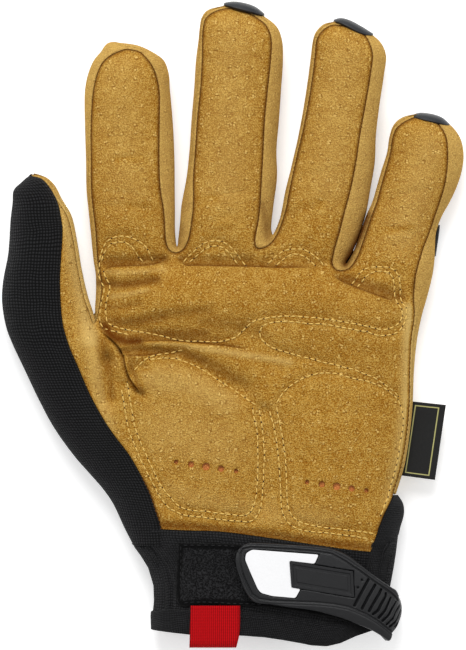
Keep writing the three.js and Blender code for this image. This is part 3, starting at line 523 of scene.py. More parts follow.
# Where a strip's surface lies between its seam and the outline, as shares of the width, and its turn down
# to the foot
UPPER_SHARES = [0, 0.05, 0.12, 0.22, 0.36, 0.52, 0.68, 0.82, 0.92, 0.98, 1]
WIDE_SHARES = [0, 0.02, 0.05, 0.09, 0.14, 0.2, 0.28, 0.37, 0.46, 0.55, 0.64, 0.73, 0.81, 0.88, 0.94, 0.98, 1]
FOOT_TURNS = [0.16, 0.34, 0.52, 0.7, 0.86, 1]
SEAM_TUCK = [(-0.35, -1.7), (-0.12, -0.5)]  # past the seam and down, under the palm leather's edge
STRIP_LEAST = 0.6  # the least width of a strip
# The painted shade line beside a seam, where its valley lies in shade: its strength, its place and its half
# width
SEAM_SHADE, SEAM_SHADE_PLACE, SEAM_SHADE_WIDTH = 0.75, 0.9, 0.8


def sew_strip(name, material, rows, shares=UPPER_SHARES, lowest=None):
    """A strip between the rails of its rows. No point of it lies lower than lowest(points)."""
    seam, edge = rows[:, :2], rows[:, 2:]
    width = np.maximum(np.linalg.norm(seam - edge, axis=1), STRIP_LEAST)
    outward = (edge - seam) / width[:, None]
    seam_height = top_height(seam) - turned_down(0, SEAM_ROLL)
    columns = [np.column_stack([seam + outward * past, seam_height + down]) for past, down in SEAM_TUCK]
    for share in shares:
        place = seam + outward * (width * share)[:, None]
        height = top_height(place) - turned_down(width * share, SEAM_ROLL)
        height = np.maximum(height, BELLY) if share < 1 else np.full(len(rows), BELLY)
        columns.append(np.column_stack([place, height]))
    for turn in FOOT_TURNS:
        angle = turn * math.pi / 2
        place = edge - outward * FOOT_INSET * (1 - math.cos(angle))
        height = BELLY - (BELLY - FOOT_HEIGHT) * math.sin(angle)
        columns.append(np.column_stack([place, np.full(len(rows), height)]))
    grid = np.stack(columns, axis=1)
    along = run_along(edge)
    across = np.cumsum(np.linalg.norm(np.diff(grid, axis=1, prepend=grid[:, :1]), axis=2), axis=1)
    uv = np.stack([np.repeat(along[:, None], grid.shape[1], 1), across], axis=2).reshape(-1, 2) * MM
    points = grid.reshape(-1, 3)
    plan = points[:, :2]
    if lowest:
        points[:, 2] = np.maximum(points[:, 2], lowest(plan))
    # Painted shade along the seam's valley, then the painted strokes
    painted_shading = SEAM_SHADE * bell(across - SEAM_SHADE_PLACE, SEAM_SHADE_WIDTH).ravel()
    painted_shading = add_painted_light(plan, painted_shading * (1 - on_thumb(plan)))
    piece = add_mesh(name + "_strip", points, grid_faces(*grid.shape[:2]), {"painted_shading": painted_shading}, uv)
    finish_piece(piece, name, material, LEATHER)


def shade_node(tree, kind, inputs=None, **settings):
    """A shader node with its settings and its input values, which are numbers, colours or sockets to link."""
    made = tree.nodes.new(kind)
    for key, value in settings.items():
        setattr(made, key, value)
    for key, value in (inputs or {}).items():
        if isinstance(value, bpy.types.NodeSocket):
            tree.links.new(value, made.inputs[key])
        else:
            made.inputs[key].default_value = value
    return made


def colour_steps(tree, value, steps):
    """A colour ramp through (place, colour) steps."""
    ramp = shade_node(tree, "ShaderNodeValToRGB", {"Fac": value})
    elements = ramp.color_ramp.elements
    while len(elements) < len(steps):
        elements.new(0.5)
    for element, (place, colour) in zip(elements, steps):
        element.position = place
        element.color = (*colour, 1)
    return ramp.outputs["Color"]


def value_range(tree, value, low, high, to_low=0.0, to_high=1.0):
    ends = {"From Min": low, "From Max": high, "To Min": to_low, "To Max": to_high}
    return shade_node(tree, "ShaderNodeMapRange", {"Value": value, **ends}).outputs["Result"]


def blend_colours(tree, share, first, second):
    """A mix of two colours, each a socket or its red, green and blue."""
    first, second = ((*colour, 1) if isinstance(colour, tuple) else colour for colour in (first, second))
    return shade_node(
        tree, "ShaderNodeMix", {"Factor": share, 6: first, 7: second}, data_type="RGBA").outputs[2]


def arithmetic(tree, operation, first, second=0.0):
    return shade_node(tree, "ShaderNodeMath", {0: first, 1: second}, operation=operation).outputs[0]


def times(tree, first, second):
    return arithmetic(tree, "MULTIPLY", first, second)


def plus(tree, first, second):
    return arithmetic(tree, "ADD", first, second)


def surface_place(tree, kind="Object"):
    return tree.nodes.new("ShaderNodeTexCoord").outputs[kind]


def start_material(name, roughness, specular=0.5, sheen=0.0):
    material = bpy.data.materials.new(name)
    material.use_nodes = True
    shader = material.node_tree.nodes["Principled BSDF"]
    shader.inputs["Roughness"].default_value = roughness
    shader.inputs["Specular IOR Level"].default_value = specular
    shader.inputs["Sheen Weight"].default_value = sheen
    return material, material.node_tree, shader


def bumped(tree, shader, height, distance):
    bump = shade_node(tree, "ShaderNodeBump", {"Distance": distance, "Height": height})
    tree.links.new(bump.outputs["Normal"], shader.inputs["Normal"])


def noise_value(tree, place, scale, detail, roughness=0.5, distortion=0.0):
    inputs = {
        "Vector": place, "Scale": scale, "Detail": detail, "Roughness": roughness, "Distortion": distortion}
    return shade_node(tree, "ShaderNodeTexNoise", inputs).outputs["Fac"]


def start_group(name, defaults, results):
    """A node group from a place and some values to its results, with its inner input and output sockets."""
    group = bpy.data.node_groups.new(name, "ShaderNodeTree")
    sockets = group.interface
    sockets.new_socket("Vector", in_out="INPUT", socket_type="NodeSocketVector")
    for key, value in defaults.items():
        sockets.new_socket(key, in_out="INPUT", socket_type="NodeSocketFloat").default_value = value
    for key in results:
        sockets.new_socket(key, in_out="OUTPUT", socket_type="NodeSocketFloat")
    return group, group.nodes.new("NodeGroupInput").outputs, group.nodes.new("NodeGroupOutput").inputs


def make_nap_group():
    """Nap of a brushed surface: fine fibres and cloudy patches, as a colour mask and a height."""
    group, given, results = start_group(
        "nap", {"Fibre Scale": 1300.0, "Cloud Scale": 230.0}, ("Mask", "Height"))
    fibres = noise_value(group, given["Vector"], given["Fibre Scale"], 4.0, 0.62, 0.4)
    clouds = noise_value(group, given["Vector"], given["Cloud Scale"], 5.0, 0.6)
    patches = value_range(group, clouds, 0.3, 0.7)
    fine = value_range(group, fibres, 0.25, 0.75)
    mask = plus(group, times(group, fine, 0.76), times(group, patches, 0.24))
    group.links.new(mask, results["Mask"])
    group.links.new(plus(group, times(group, patches, 0.3), fine), results["Height"])
    return group


nap_group = make_nap_group()


def add_nap(tree, **scales):
    """The nap group's outputs, at places on the object."""
    inputs = {"Vector": surface_place(tree)}
    inputs.update({key.replace("_", " ").title(): value for key, value in scales.items()})
    return shade_node(tree, "ShaderNodeGroup", inputs, node_tree=nap_group).outputs


SUEDE_DARK = (0.28, 0.097, 0.006)
SUEDE_MIDDLE = (0.45, 0.227, 0.030)
SUEDE_LIGHT = (0.70, 0.44, 0.11)
# Colours of the painted highlight and the painted shade on the suede
SUEDE_PAINTED_HIGHLIGHT = (0.76, 0.52, 0.17)
SUEDE_PAINTED_SHADE = (0.11, 0.022, 0.001)
SUEDE_PIMPLE = (0.88, 0.60, 0.19)
SUEDE_PORE = (0.22, 0.080, 0.006)
PORE_SPACING = 0.0037  # between the pores of the pigskin, in metres


def make_suede(name, painted_sheen=0.0, pore_coordinates="Object"):
    """Suede with its pores in groups, each group round a few pale pimples. A painted sheen makes it paler."""
    material, tree, shader = start_material(name, 0.95, specular=0.02)
    place = surface_place(tree)
    nap = add_nap(tree, fibre_scale=2100.0)
    broad = value_range(tree, noise_value(tree, place, 38.0, 3.0, 0.55), 0.3, 0.7)
    tone = plus(tree, times(tree, nap["Mask"], 0.9), times(tree, broad, 0.1))
    colour = colour_steps(tree, tone, [(0.2, SUEDE_DARK), (0.5, SUEDE_MIDDLE), (0.84, SUEDE_LIGHT)])
    fleck = noise_value(tree, place, 1900.0, 1.0, 0.6)
    pale_fleck = value_range(tree, fleck, 0.53, 0.68)
    dark_fleck = value_range(tree, fleck, 0.47, 0.32)
    colour = blend_colours(tree, times(tree, pale_fleck, 0.75), colour, SUEDE_LIGHT)
    colour = blend_colours(tree, times(tree, dark_fleck, 0.8), colour, SUEDE_DARK)
    # A painted sheen, which makes the whole material paler
    colour = blend_colours(tree, painted_sheen, colour, SUEDE_PAINTED_HIGHLIGHT)
    pore_place = surface_place(tree, pore_coordinates)
    groups, single = (
        shade_node(
            tree, "ShaderNodeTexVoronoi",
            {"Vector": pore_place, "Scale": rate / PORE_SPACING, "Randomness": 0.7},
            voronoi_dimensions="2D").outputs
        for rate in (1, 3))
    painted_shading = shade_node(tree, "ShaderNodeAttribute", attribute_name="painted_shading").outputs["Fac"]
    shown = times(
        tree, value_range(tree, groups["Distance"], 0.30, 0.18, 0.0, 1 - painted_sheen),
        value_range(tree, painted_shading, 0.1, 0.5, 1.0, 0.2))
    shown = times(tree, shown, value_range(tree, groups["Color"], 0.25, 0.75, 0.15, 1.0))
    pimple = times(tree, shown, value_range(tree, single["Distance"], 0.36, 0.22))
    pore = times(tree, shown, value_range(tree, single["Distance"], 0.40, 0.52))
    uneven = value_range(tree, nap["Mask"], 0.1, 0.9, 1.0, 0.8)
    # Painted shade where the shading attribute is positive, painted highlight where it is negative
    colour = blend_colours(tree, times(tree, painted_shading, uneven), colour, SUEDE_PAINTED_SHADE)
    colour = blend_colours(tree, value_range(tree, painted_shading, 0.0, -1.0), colour, SUEDE_PAINTED_HIGHLIGHT)
    colour = blend_colours(tree, times(tree, pimple, 0.75), colour, SUEDE_PIMPLE)
    colour = blend_colours(tree, times(tree, pore, 0.5), colour, SUEDE_PORE)
    tree.links.new(colour, shader.inputs["Base Color"])
    height = plus(tree, nap["Height"], times(tree, fleck, 1.6))
    height = plus(tree, height, times(tree, pimple, 0.3))
    height = arithmetic(tree, "SUBTRACT", height, times(tree, pore, 0.4))
    bumped(tree, shader, height, 0.0004)
    return material


suede = make_suede("tan_suede")
# The side strips take a painted sheen: their steep sides are paler, as if they caught the light
sheen_painted_suede = make_suede("sheen_painted_suede", 0.36, "UV")
for strip_name in (
        "ulnar_side", "fourchette_ring_little", "fourchette_middle_ring", "fourchette_index_middle",
        "index_thumb_side"):
    sew_strip(strip_name, sheen_painted_suede, rows_of(strip_name))

# Textile of the thumb and the wrist slit
# Black canvas-like textile that wraps the outside of the thumb, and the bound strip beside the wrist slit.
# Both are sewn to the palm leather's edge. Their weave follows the cloth's own length and width.

BLACK_CLOTH = (0.0018, 0.0018, 0.0019)
# Colour of the raised threads, a painted highlight
CLOTH_LIT = (0.026, 0.026, 0.0275)
CUFF_HEIGHT = 20.8
# The end of the strip beside the slit, as rails. It laps over the cuff and under the closure tab.
GUSSET_TAIL = [
    [52.6, -102, 60.2, -102], [53.7, -95, 61.2, -95], [54.9, -89.6, 63, -89.6],
    [56, -86.2, 65, -86.2],
]
GUSSET_LAP = -86.4  # the y below which it lies on the cuff
GUSSET_ABOVE = 0.3  # how far above the cuff
GUSSET_END = -83.5  # the y at which the tail begins
CUFF_SLOPE = (-86, -97)  # the y between which the palm's height passes into the cuff's
WEAVE_WOBBLE = 0.0011  # how far the threads stray, in metres


def make_weave_group():
    """Height of a plain weave, from the cloth's own coordinates."""
    group, given, results = start_group("weave", {"Thread Spacing": WEAVE_WOBBLE}, ("Height",))
    wobble = shade_node(
        group, "ShaderNodeTexNoise", {"Vector": given["Vector"], "Scale": 160.0, "Detail": 1.0})
    spread = shade_node(
        group, "ShaderNodeVectorMath", {0: wobble.outputs["Color"], 1: (WEAVE_WOBBLE,) * 3},
        operation="MULTIPLY")
    moved = shade_node(
        group, "ShaderNodeVectorMath", {0: given["Vector"], 1: spread.outputs[0]}, operation="ADD")
    split = shade_node(group, "ShaderNodeSeparateXYZ", {"Vector": moved.outputs[0]})
    rate = arithmetic(group, "DIVIDE", math.pi, given["Thread Spacing"])
    waves = [arithmetic(group, "SINE", times(group, split.outputs[axis], rate)) for axis in ("X", "Y")]
    group.links.new(arithmetic(group, "ABSOLUTE", times(group, *waves)), results["Height"])
    return group


weave_group = make_weave_group()


def add_weave(tree, spacing, coordinates):
    """The weave group's height, with the threads the given distance in metres apart."""
    inputs = {"Vector": surface_place(tree, coordinates), "Thread Spacing": spacing}
    return shade_node(tree, "ShaderNodeGroup", inputs, node_tree=weave_group).outputs["Height"]


def make_cloth(name, spacing, coordinates="UV", fuzz=0.3, depth=0.00035):
    """Black cloth with a weave of the given spacing, in metres, and some fuzz over it, its raised threads
    painted lighter.
    """
    material, tree, shader = start_material(name, 0.95, specular=0.12, sheen=0.05)
    weave = add_weave(tree, spacing, coordinates)
    height = plus(tree, weave, times(tree, add_nap(tree)["Height"], fuzz))
    # Painted highlight on the raised threads and painted shade in the valleys, from the bump's height
    lit = value_range(tree, height, 0.42, 1.2 + fuzz * 0.65)
    tree.links.new(blend_colours(tree, lit, BLACK_CLOTH, CLOTH_LIT), shader.inputs["Base Color"])
    bumped(tree, shader, height, depth)
    return material


def cuff_surface(points):
    """Height of the upper side of the cuff."""
    full = top_height(points)
    flattened = smoothstep(*CUFF_SLOPE, points[:, 1])
    return BELLY + (full - BELLY) * (1 - flattened * (1 - (CUFF_HEIGHT - BELLY) / (WRIST_HEIGHT - BELLY)))


def above_cuff(points):
    """Least height of the strip beside the slit, whose tail lies on the cuff."""
    return np.where(points[:, 1] < GUSSET_LAP, cuff_surface(points) + GUSSET_ABOVE, 0)


canvas = make_cloth("black_canvas", 0.00125)
sew_strip("thumb_back", canvas, rows_of("thumb_back"), WIDE_SHARES)
binding = make_cloth("black_binding", 0.0007, fuzz=0.5, depth=0.0002)
gusset_rows = rows_of("wrist_gusset")
gusset_rows = gusset_rows[gusset_rows[:, 3] > GUSSET_END]
gusset_tail = spline(GUSSET_TAIL + gusset_rows[:1].tolist(), ROW_STEP)[0]
gusset_rows = np.vstack([gusset_tail[:-1], gusset_rows])
sew_strip("wrist_gusset", binding, gusset_rows, lowest=above_cuff)

# Back panel
# Black textile over the back of the hand. The glove's weight presses it flat on the ground, and its cut
# edge turns up to the side strips, where it is sewn on.

PANEL_BOTTOM = 1.6
PANEL_THICK = 1.3
PANEL_INSET = 1.8  # from the outline to the cloth's cut edge
PANEL_RISE = 2.4  # how far its edge turns up
PANEL_ROLL = 9.0  # the width over which it does
PANEL_WAVES = (0.3, 14, 5.2)  # height, length and seed
PANEL_STEP = 2.4


def inside(points, outline):
    """Which points lie inside a closed outline."""
    found = np.zeros(len(points), bool)
    x, y = points.T
    for (ax, ay), (bx, by) in zip(outline, np.roll(outline, -1, axis=0)):
        if ay != by:
            found ^= ((ay > y) != (by > y)) & (x < (bx - ax) * (y - ay) / (by - ay) + ax)
    return found


def nearest_distance(points, others):
    """Distance of each point from the nearest one of the others."""
    nearest = np.empty(len(points))
    for i in range(0, len(points), BATCH):
        apart = points[i:i + BATCH, None] - others[None]
        nearest[i:i + BATCH] = np.sqrt((apart ** 2).sum(-1).min(1))
    return nearest


def fill_outline(outline, step, extra=()):
    """Triangles that fill an outline, from a lattice of points, with extra points that keep their place."""
    low, high = outline.min(0), outline.max(0)
    rows = np.arange(low[1], high[1], step * math.sqrt(3) / 2)
    lattice = []
    for i, y in enumerate(rows):
        across = np.arange(low[0] + step / 2 * (i % 2), high[0], step)
        lattice.append(np.column_stack([across, np.full(len(across), y)]))
    lattice = np.vstack(lattice)
    lattice = lattice[inside(lattice, outline)]
    fixed = np.vstack([outline, *extra])
    lattice = lattice[nearest_distance(lattice, fixed) > step * 0.62]
    points = np.vstack([fixed, lattice])
    edges = [(i, (i + 1) % len(outline)) for i in range(len(outline))]
    found = delaunay_2d_cdt([Vector(p) for p in points], edges, [], 1, 1e-6)
    points = np.array([tuple(point) for point in found[0]])
    faces = np.array([tuple(face) for face in found[2]])
    return points, faces[inside(points[faces].mean(1), outline)]


knit = make_cloth("black_knit", 0.0016, coordinates="Object", fuzz=0.6)
panel_rows = smooth_rows[::2]
panel_inward = panel_rows[:, :2] - panel_rows[:, 2:]
panel_inward /= np.linalg.norm(panel_inward, axis=1)[:, None]
panel_outline = panel_rows[:, 2:] + panel_inward * PANEL_INSET
panel_points, panel_faces = fill_outline(panel_outline, PANEL_STEP)
panel_near = 1 - np.minimum(nearest_distance(panel_points, panel_outline) / PANEL_ROLL, 1)
panel_height = PANEL_BOTTOM + PANEL_RISE * (1 - np.sqrt(1 - panel_near**2))
panel_height += PANEL_WAVES[0] * np.maximum(ripple(panel_points, *PANEL_WAVES[1:]), 0)
back_panel = add_mesh(
    "back_textile", np.column_stack([panel_points, panel_height]), panel_faces[:, ::-1].tolist())
finish_piece(back_panel, "back_panel", knit, PANEL_THICK)

# Rubber guards
# Moulded black rubber plates on the back. One lies under each of three fingers, and its end curls up over the
# fingertip. The fourth lies across the knuckles, and its end turns up at the edge of the hand.

GUARD_THICK = 1.2
GUARD_GROOVE = 0.35
# The pitch of the grooves across a plate, and how sharp they are
FINGER_GROOVES = 7.0, (0.75, 0.95)
KNUCKLE_GROOVES = 10.0, (0.8, 0.96)
GUARD_EDGE = 0.35  # radius of its rounded edges
# How far past the curled end's line, the height, and the share of the end's width
GUARD_PROFILE = [
    (-62, 0, 0.85), (-40, 0, 1.15), (-16, 0, 1.15), (-4, 0, 1), (-1.3, 0.5, 0.94),
    (-0.1, 2.2, 0.92), (0.3, 5, 0.92), (0.15, 8.5, 0.92), (-0.1, 11, 0.92), (-0.6, 13.2, 0.91),
    (-1.6, 14.9, 0.9), (-3, 15.9, 0.88),
]
GUARD_LIP = 8.5  # above this height the curled end narrows to a crescent
# The line of each curled end over its fingertip, the place on the back that the plate points to, and its
# length as a share of the profile's
finger_guards = {
    "middle_guard": (
        [(-4.4, 128.6), (-0.2, 129.3), (4.2, 128.8), (8.9, 127.2), (13.2, 123.9)], (-5, 60), 1),
    "ring_guard": (
        [(39.6, 121.8), (42.8, 122.7), (46, 122.1), (50.8, 119.7), (56.8, 116)], (35.6, 58), 1),
    "little_guard": (
        [(70.7, 83.3), (74.2, 84.7), (78.4, 84.5), (83.4, 83), (87.2, 79.8)], (67.5, 38), 0.62),
}
# Sections of the knuckle guard from the thumb side: x and height, then the y of its two long edges and how
# far its lower corner leans back
KNUCKLE_PROFILE = [
    (-48, 0.0, 6, 20, 0), (-40, 0.0, 0, 26, 0), (0, 0.0, -4, 30, 0), (50, 0.0, 2, 30, 0),
    (77.5, 0, 26, 38, 0), (80.8, 1, 27, 39.4, 0.6), (82.4, 3.4, 27.5, 40, 1.2),
    (82.9, 6.6, 28, 40, 1.6), (82.6, 9, 28.5, 39.4, 1.6),
]


def make_rubber(name, colour):
    material, tree, shader = start_material(name, 0.42, specular=0.3)
    nap = add_nap(tree, fibre_scale=2400.0)
    darker = tuple(0.72 * channel for channel in colour)
    tree.links.new(blend_colours(tree, nap["Mask"], darker, colour), shader.inputs["Base Color"])
    tree.links.new(value_range(tree, nap["Mask"], 0.2, 0.8, 0.36, 0.5), shader.inputs["Roughness"])
    bumped(tree, shader, nap["Height"], 0.00006)
    return material


def bent_grid(name, columns, rows, place):
    """A grid primitive whose points are moved to place(across, along), both from 0 to 1, in mm."""
    bpy.ops.object.select_all(action="DESELECT")
    bpy.ops.mesh.primitive_grid_add(x_subdivisions=columns, y_subdivisions=rows, size=1)
    piece = bpy.context.object
    piece.name = name
    flat = np.empty(len(piece.data.vertices) * 3)
    piece.data.vertices.foreach_get("co", flat)
    across, along = flat.reshape(-1, 3)[:, :2].T + 0.5
    piece.data.vertices.foreach_set("co", (place(across, along) * MM).ravel())
    piece.data.shade_smooth()
    return piece


def soften_edges(piece, width, angle):
    """Round the edges at which a piece turns by more than an angle, in degrees."""
    apply_modifier(
        piece, "BEVEL", width=width * MM, segments=2, limit_method="ANGLE", angle_limit=math.radians(angle))


def finish_guard(guard, node):
    apply_modifier(guard, "SOLIDIFY", thickness=GUARD_THICK * MM, offset=-1)
    soften_edges(guard, GUARD_EDGE, 55)
    guard.data.shade_smooth()
    finish_piece(guard, node, guard_rubber)


def even_samples(table, count):
    """A smooth curve through the rows of a table, as count rows evenly spaced along it."""
    fine = spline(table, 0.2)[0]
    lengths = run_along(fine)
    at = np.linspace(0, lengths[-1], count)
    return np.column_stack([np.interp(at, lengths, column) for column in fine.T])


def at_share(samples, share):
    """The columns of even samples at shares of their whole length."""
    return [np.interp(share, np.linspace(0, 1, len(samples)), column) for column in samples.T]


PROFILE_SAMPLES = 200
guard_profile = even_samples(GUARD_PROFILE, PROFILE_SAMPLES)
knuckle_profile = even_samples(KNUCKLE_PROFILE, PROFILE_SAMPLES)
guard_rubber = make_rubber("guard_rubber", (0.014, 0.0165, 0.0195))


def grooved(along, pitch, sharpness):
    """How deep a plate is grooved across, with its grooves a pitch apart."""
    return GUARD_GROOVE * smoothstep(*sharpness, np.cos(along * 2 * math.pi / pitch))


def finger_guard_shape(end_line, root, scale):
    """The place(across, along) of a guard that ends on a line over the fingertip and points to its root."""
    end_curve = even_samples(end_line, PROFILE_SAMPLES)
    end_middle = end_curve.mean(0)
    end_width = end_curve[-1] - end_curve[0]
    axis = end_middle - root
    axis /= np.linalg.norm(axis)

    def place(across, along):
        reach, height, width = at_share(guard_profile, along)
        share = (0.5 - across) * width + 0.5
        inner = np.clip(share, 0, 1)
        curve = np.column_stack(at_share(end_curve, inner)) + (share - inner)[:, None] * end_width
        chord = end_middle + (share - 0.5)[:, None] * end_width
        straight = smoothstep(-2, -30, reach)[:, None]
        narrowed = np.abs(2 * inner - 1) ** 2.5
        reach = reach * (scale + (1 - scale) * smoothstep(0.2, 2.0, height))
        reach = np.where(height > GUARD_LIP, reach * (1 - narrowed), reach)
        height = height - 0.7 * narrowed * np.maximum(height - GUARD_LIP, 0)
        plan = curve * (1 - straight) + chord * straight + axis * reach[:, None]
        groove = grooved(reach, *FINGER_GROOVES) * smoothstep(-4, -6, reach)
        groove = groove * smoothstep(0.04, 0.1, across) * smoothstep(0.96, 0.9, across)
        return np.column_stack([plan, np.maximum(height, 0) + groove])

    return place


def knuckle_place(across, along):
    x, height, low, high, lean = at_share(knuckle_profile, along)
    y = low + (high - low) * across
    groove = grooved(x, *KNUCKLE_GROOVES) * smoothstep(76, 70, x)
    groove = groove * smoothstep(0.05, 0.12, across) * smoothstep(0.95, 0.88, across)
    return np.column_stack([x - lean * (1 - across) ** 1.2, y, np.maximum(height, 0) + groove])


for guard_name, guard_line in finger_guards.items():
    guard = bent_grid(guard_name + "_rubber", 32, 160, finger_guard_shape(*guard_line))
    finish_guard(guard, guard_name)
finish_guard(bent_grid("knuckle_guard_rubber", 40, 200, knuckle_place), "knuckle_guard")

# Foam pads
# Two pads under the heel of the hand, cut from orange closed-cell foam. They lie loose between the palm
# leather and the lining and show only through the perforations.

FOAM_THICK = 2.0
FOAM_STEP = 2.0
UNDER_LEATHER = LEATHER + 0.15  # from the palm's surface down to a pad
# Brighter than the foam's own colour: a painted light that makes up for the shade inside the perforations
FOAM_BRIGHTENED = (0.92, 0.37, 0.085)
FOAM_CELL = (0.55, 0.17, 0.04)
PAD_POINTS = 48  # round its outline
PAD_SQUARENESS = 2.8  # 2 would be an ellipse
# The middle of each pad, its half width and half length, and how far it is turned, in radians
PADS = {
    "thenar_pad": ((-13, -46), 18.6, 22.6, 0.12),
    "heel_pad": ((40.5, -52), 18.1, 25.6, 0.05),
}


def rounded_outline(centre, half_width, half_length, tilt):
    """Points round a shape between an ellipse and a rectangle, counter-clockwise."""
    angle = np.arange(PAD_POINTS) / PAD_POINTS * 2 * math.pi
    across, along = (
        half * np.sign(wave) * np.abs(wave) ** (2 / PAD_SQUARENESS)
        for half, wave in ((half_width, np.cos(angle)), (half_length, np.sin(angle))))
    turned_x = across * math.cos(tilt) - along * math.sin(tilt)
    turned_y = across * math.sin(tilt) + along * math.cos(tilt)
    return np.column_stack([turned_x, turned_y]) + centre


def make_foam():
    material, tree, shader = start_material("orange_foam", 0.85)
    cells = shade_node(tree, "ShaderNodeTexVoronoi", {"Vector": surface_place(tree), "Scale": 2200.0})
    shade = value_range(tree, cells.outputs["Distance"], 0.1, 0.6)
    tree.links.new(blend_colours(tree, shade, FOAM_BRIGHTENED, FOAM_CELL), shader.inputs["Base Color"])
    bumped(tree, shader, cells.outputs["Distance"], 0.0002)
    return material


foam = make_foam()
for pad_name, pad_shape in PADS.items():
    pad_outline = rounded_outline(*pad_shape)
    pad_points, pad_faces = fill_outline(pad_outline, FOAM_STEP)
    pad_edge = nearest_distance(pad_points, pad_outline)
    pad_top = top_height(pad_points) - UNDER_LEATHER - turned_down(pad_edge, FOAM_THICK / 2)
    pad = add_mesh(pad_name + "_foam", np.column_stack([pad_points, pad_top]), pad_faces.tolist())
    finish_piece(pad, pad_name, foam, FOAM_THICK)

# Palm leather
# The palm, the four finger fronts and the tan side of the thumb are cut in one from pigskin suede. Its
# edges are sewn inside out to the strips. Double rows of thread quilt pads under it, and it folds where the
# hand does.

PALM_STEP = 1.1
PALM_RINGS = (0.3, 0.7, 1.3)  # distances of the rings of points inside its outline
WRIST_EDGE = [
    [-28.6, -81.2], [-17.2, -81.6], [-5.2, -82], [10.8, -84], [26.8, -86.4], [42.8, -88.8], [54.8, -90.2],
]
# First and last hole of each row, in photo pixels
HOLE_ROWS = [((176.5, 461), (236, 470)), ((306.5, 481), (365.5, 489.5))]
HOLE_DIAMETERS = [1.7, 2.4, 3.0, 2.5, 1.7]
HOLE_SIDES = 16
HOLE_MARGINS = (0, 0.15, 0.4)  # of the rings of points round a hole
HOLE_SINK = 0.35  # how far the leather sinks at a hole's edge
HOLE_RIM = 1.5  # how far round the hole it sinks
HOLE_SOFT = 0.3  # the distance over which that fades
HOLE_CLEAN = 0.7  # no painted shade or highlight lies nearer to a hole

# Quilting: each double row of stitches, as pixel coordinates of the photograph
quilting = {
    "index_scallop_outer": [
        (99, 268), (100, 258), (103, 248), (108, 241), (113, 238), (120, 236.5), (130, 237), (138, 241),
        (145, 246), (150, 255), (154, 262)],
    "index_scallop_inner": [
        (102, 262), (104.5, 253), (110, 245), (118, 242), (126, 243), (133, 248), (138, 256), (144, 263)],
    "middle_scallop_outer": [
        (183, 263), (187, 258), (193, 252), (200, 246), (208, 242), (215, 241), (222, 242), (230, 247),
        (236, 253), (241, 260), (246, 266)],
    "middle_scallop_inner": [
        (189, 263), (195, 258), (201, 252), (208, 247.5), (216, 246), (226, 250), (232, 257), (238, 265)],
    "ring_scallop_outer": [
        (268, 264), (273, 259), (280, 253), (287, 250), (297, 249), (305, 250), (312, 254), (319, 260),
        (324, 266)],
    "ring_scallop_inner": [
        (276, 266), (282, 260), (288, 256), (295, 254), (303, 256), (309, 260), (315, 266)],
    "little_scallop_outer": [
        (351, 285), (356, 279), (360, 272), (365, 269), (372, 267), (382, 267), (390, 268), (396, 273),
        (399, 279), (400, 300), (405, 308), (406, 315), (404, 322), (400, 329), (395, 333), (388, 335),
        (381, 336), (365, 332), (345, 328), (325, 324.5), (315, 324), (290, 322), (272, 322.5), (262, 326),
        (259, 333), (262, 340), (271, 347), (285, 352), (300, 356), (316, 360), (332, 364), (348, 368),
        (362, 373), (376, 379), (388, 387), (398, 396)],
    "little_scallop_inner": [
        (356, 288), (362, 281), (368, 274), (376, 271), (385, 272), (391, 276), (393.5, 285), (394.5, 300),
        (400, 308), (401, 316), (399, 322), (395, 326), (388, 329), (381, 330), (365, 326), (345, 322.5),
        (325, 319), (305, 317), (285, 316), (268, 318), (252, 322), (244, 330), (236, 337), (225, 340.5),
        (200, 341.5), (178, 340)],
    "thumb_edge_outer": [
        (99, 268), (98.5, 275), (101, 282), (105, 290), (102, 300), (100.5, 310), (100, 318), (102, 327),
        (112, 331), (130, 335)],
    "thumb_edge_inner": [
        (104, 272), (107, 280), (111, 286), (109, 293), (107, 301), (106, 312), (107, 321), (113, 326),
        (130, 330), (155, 334), (178, 340)],
    "thenar_top": [(130, 376), (136, 369), (141, 363), (147, 358), (155, 355.5), (165, 354), (184, 350)],
    "thenar_arc": [
        (150, 359), (165, 358), (180, 360), (200, 368), (220, 381), (236, 391), (247, 399), (256, 405)],
    "thenar_outer": [
        (122, 388), (126, 412), (131, 433), (138, 450), (145, 466), (153, 482), (161, 497), (170, 507),
        (182, 513), (207, 516.5), (240, 520), (253, 519), (260, 507), (262.5, 488), (264, 460),
        (262.5, 430), (259, 409)],
    "thenar_inner": [
        (128, 382), (132, 408), (138, 434), (146, 452), (154, 470), (163, 487), (173, 499), (182, 507),
        (209, 510.5), (238, 514), (248, 513), (254.5, 503), (256.5, 488), (258, 460), (256.5, 430),
        (252, 408)],
    "heel_outer": [
        (269, 410), (274, 427), (278, 457), (280.5, 490), (282, 510), (289, 523), (302, 529), (325, 531.5),
        (345, 534), (368, 537)],
    "heel_inner": [
        (276, 406), (281, 430), (284.5, 455), (286.5, 485), (288, 506), (295, 518), (311, 524), (340, 528),
        (374, 532)],
    "heel_top": [
        (276, 403), (280, 396), (286, 389), (300, 379), (313, 374), (335, 373), (352, 378), (370, 382),
        (385, 389), (397, 399), (402, 412), (402, 427), (399, 445), (396, 465), (391, 482), (386, 500),
        (380, 515)],
}

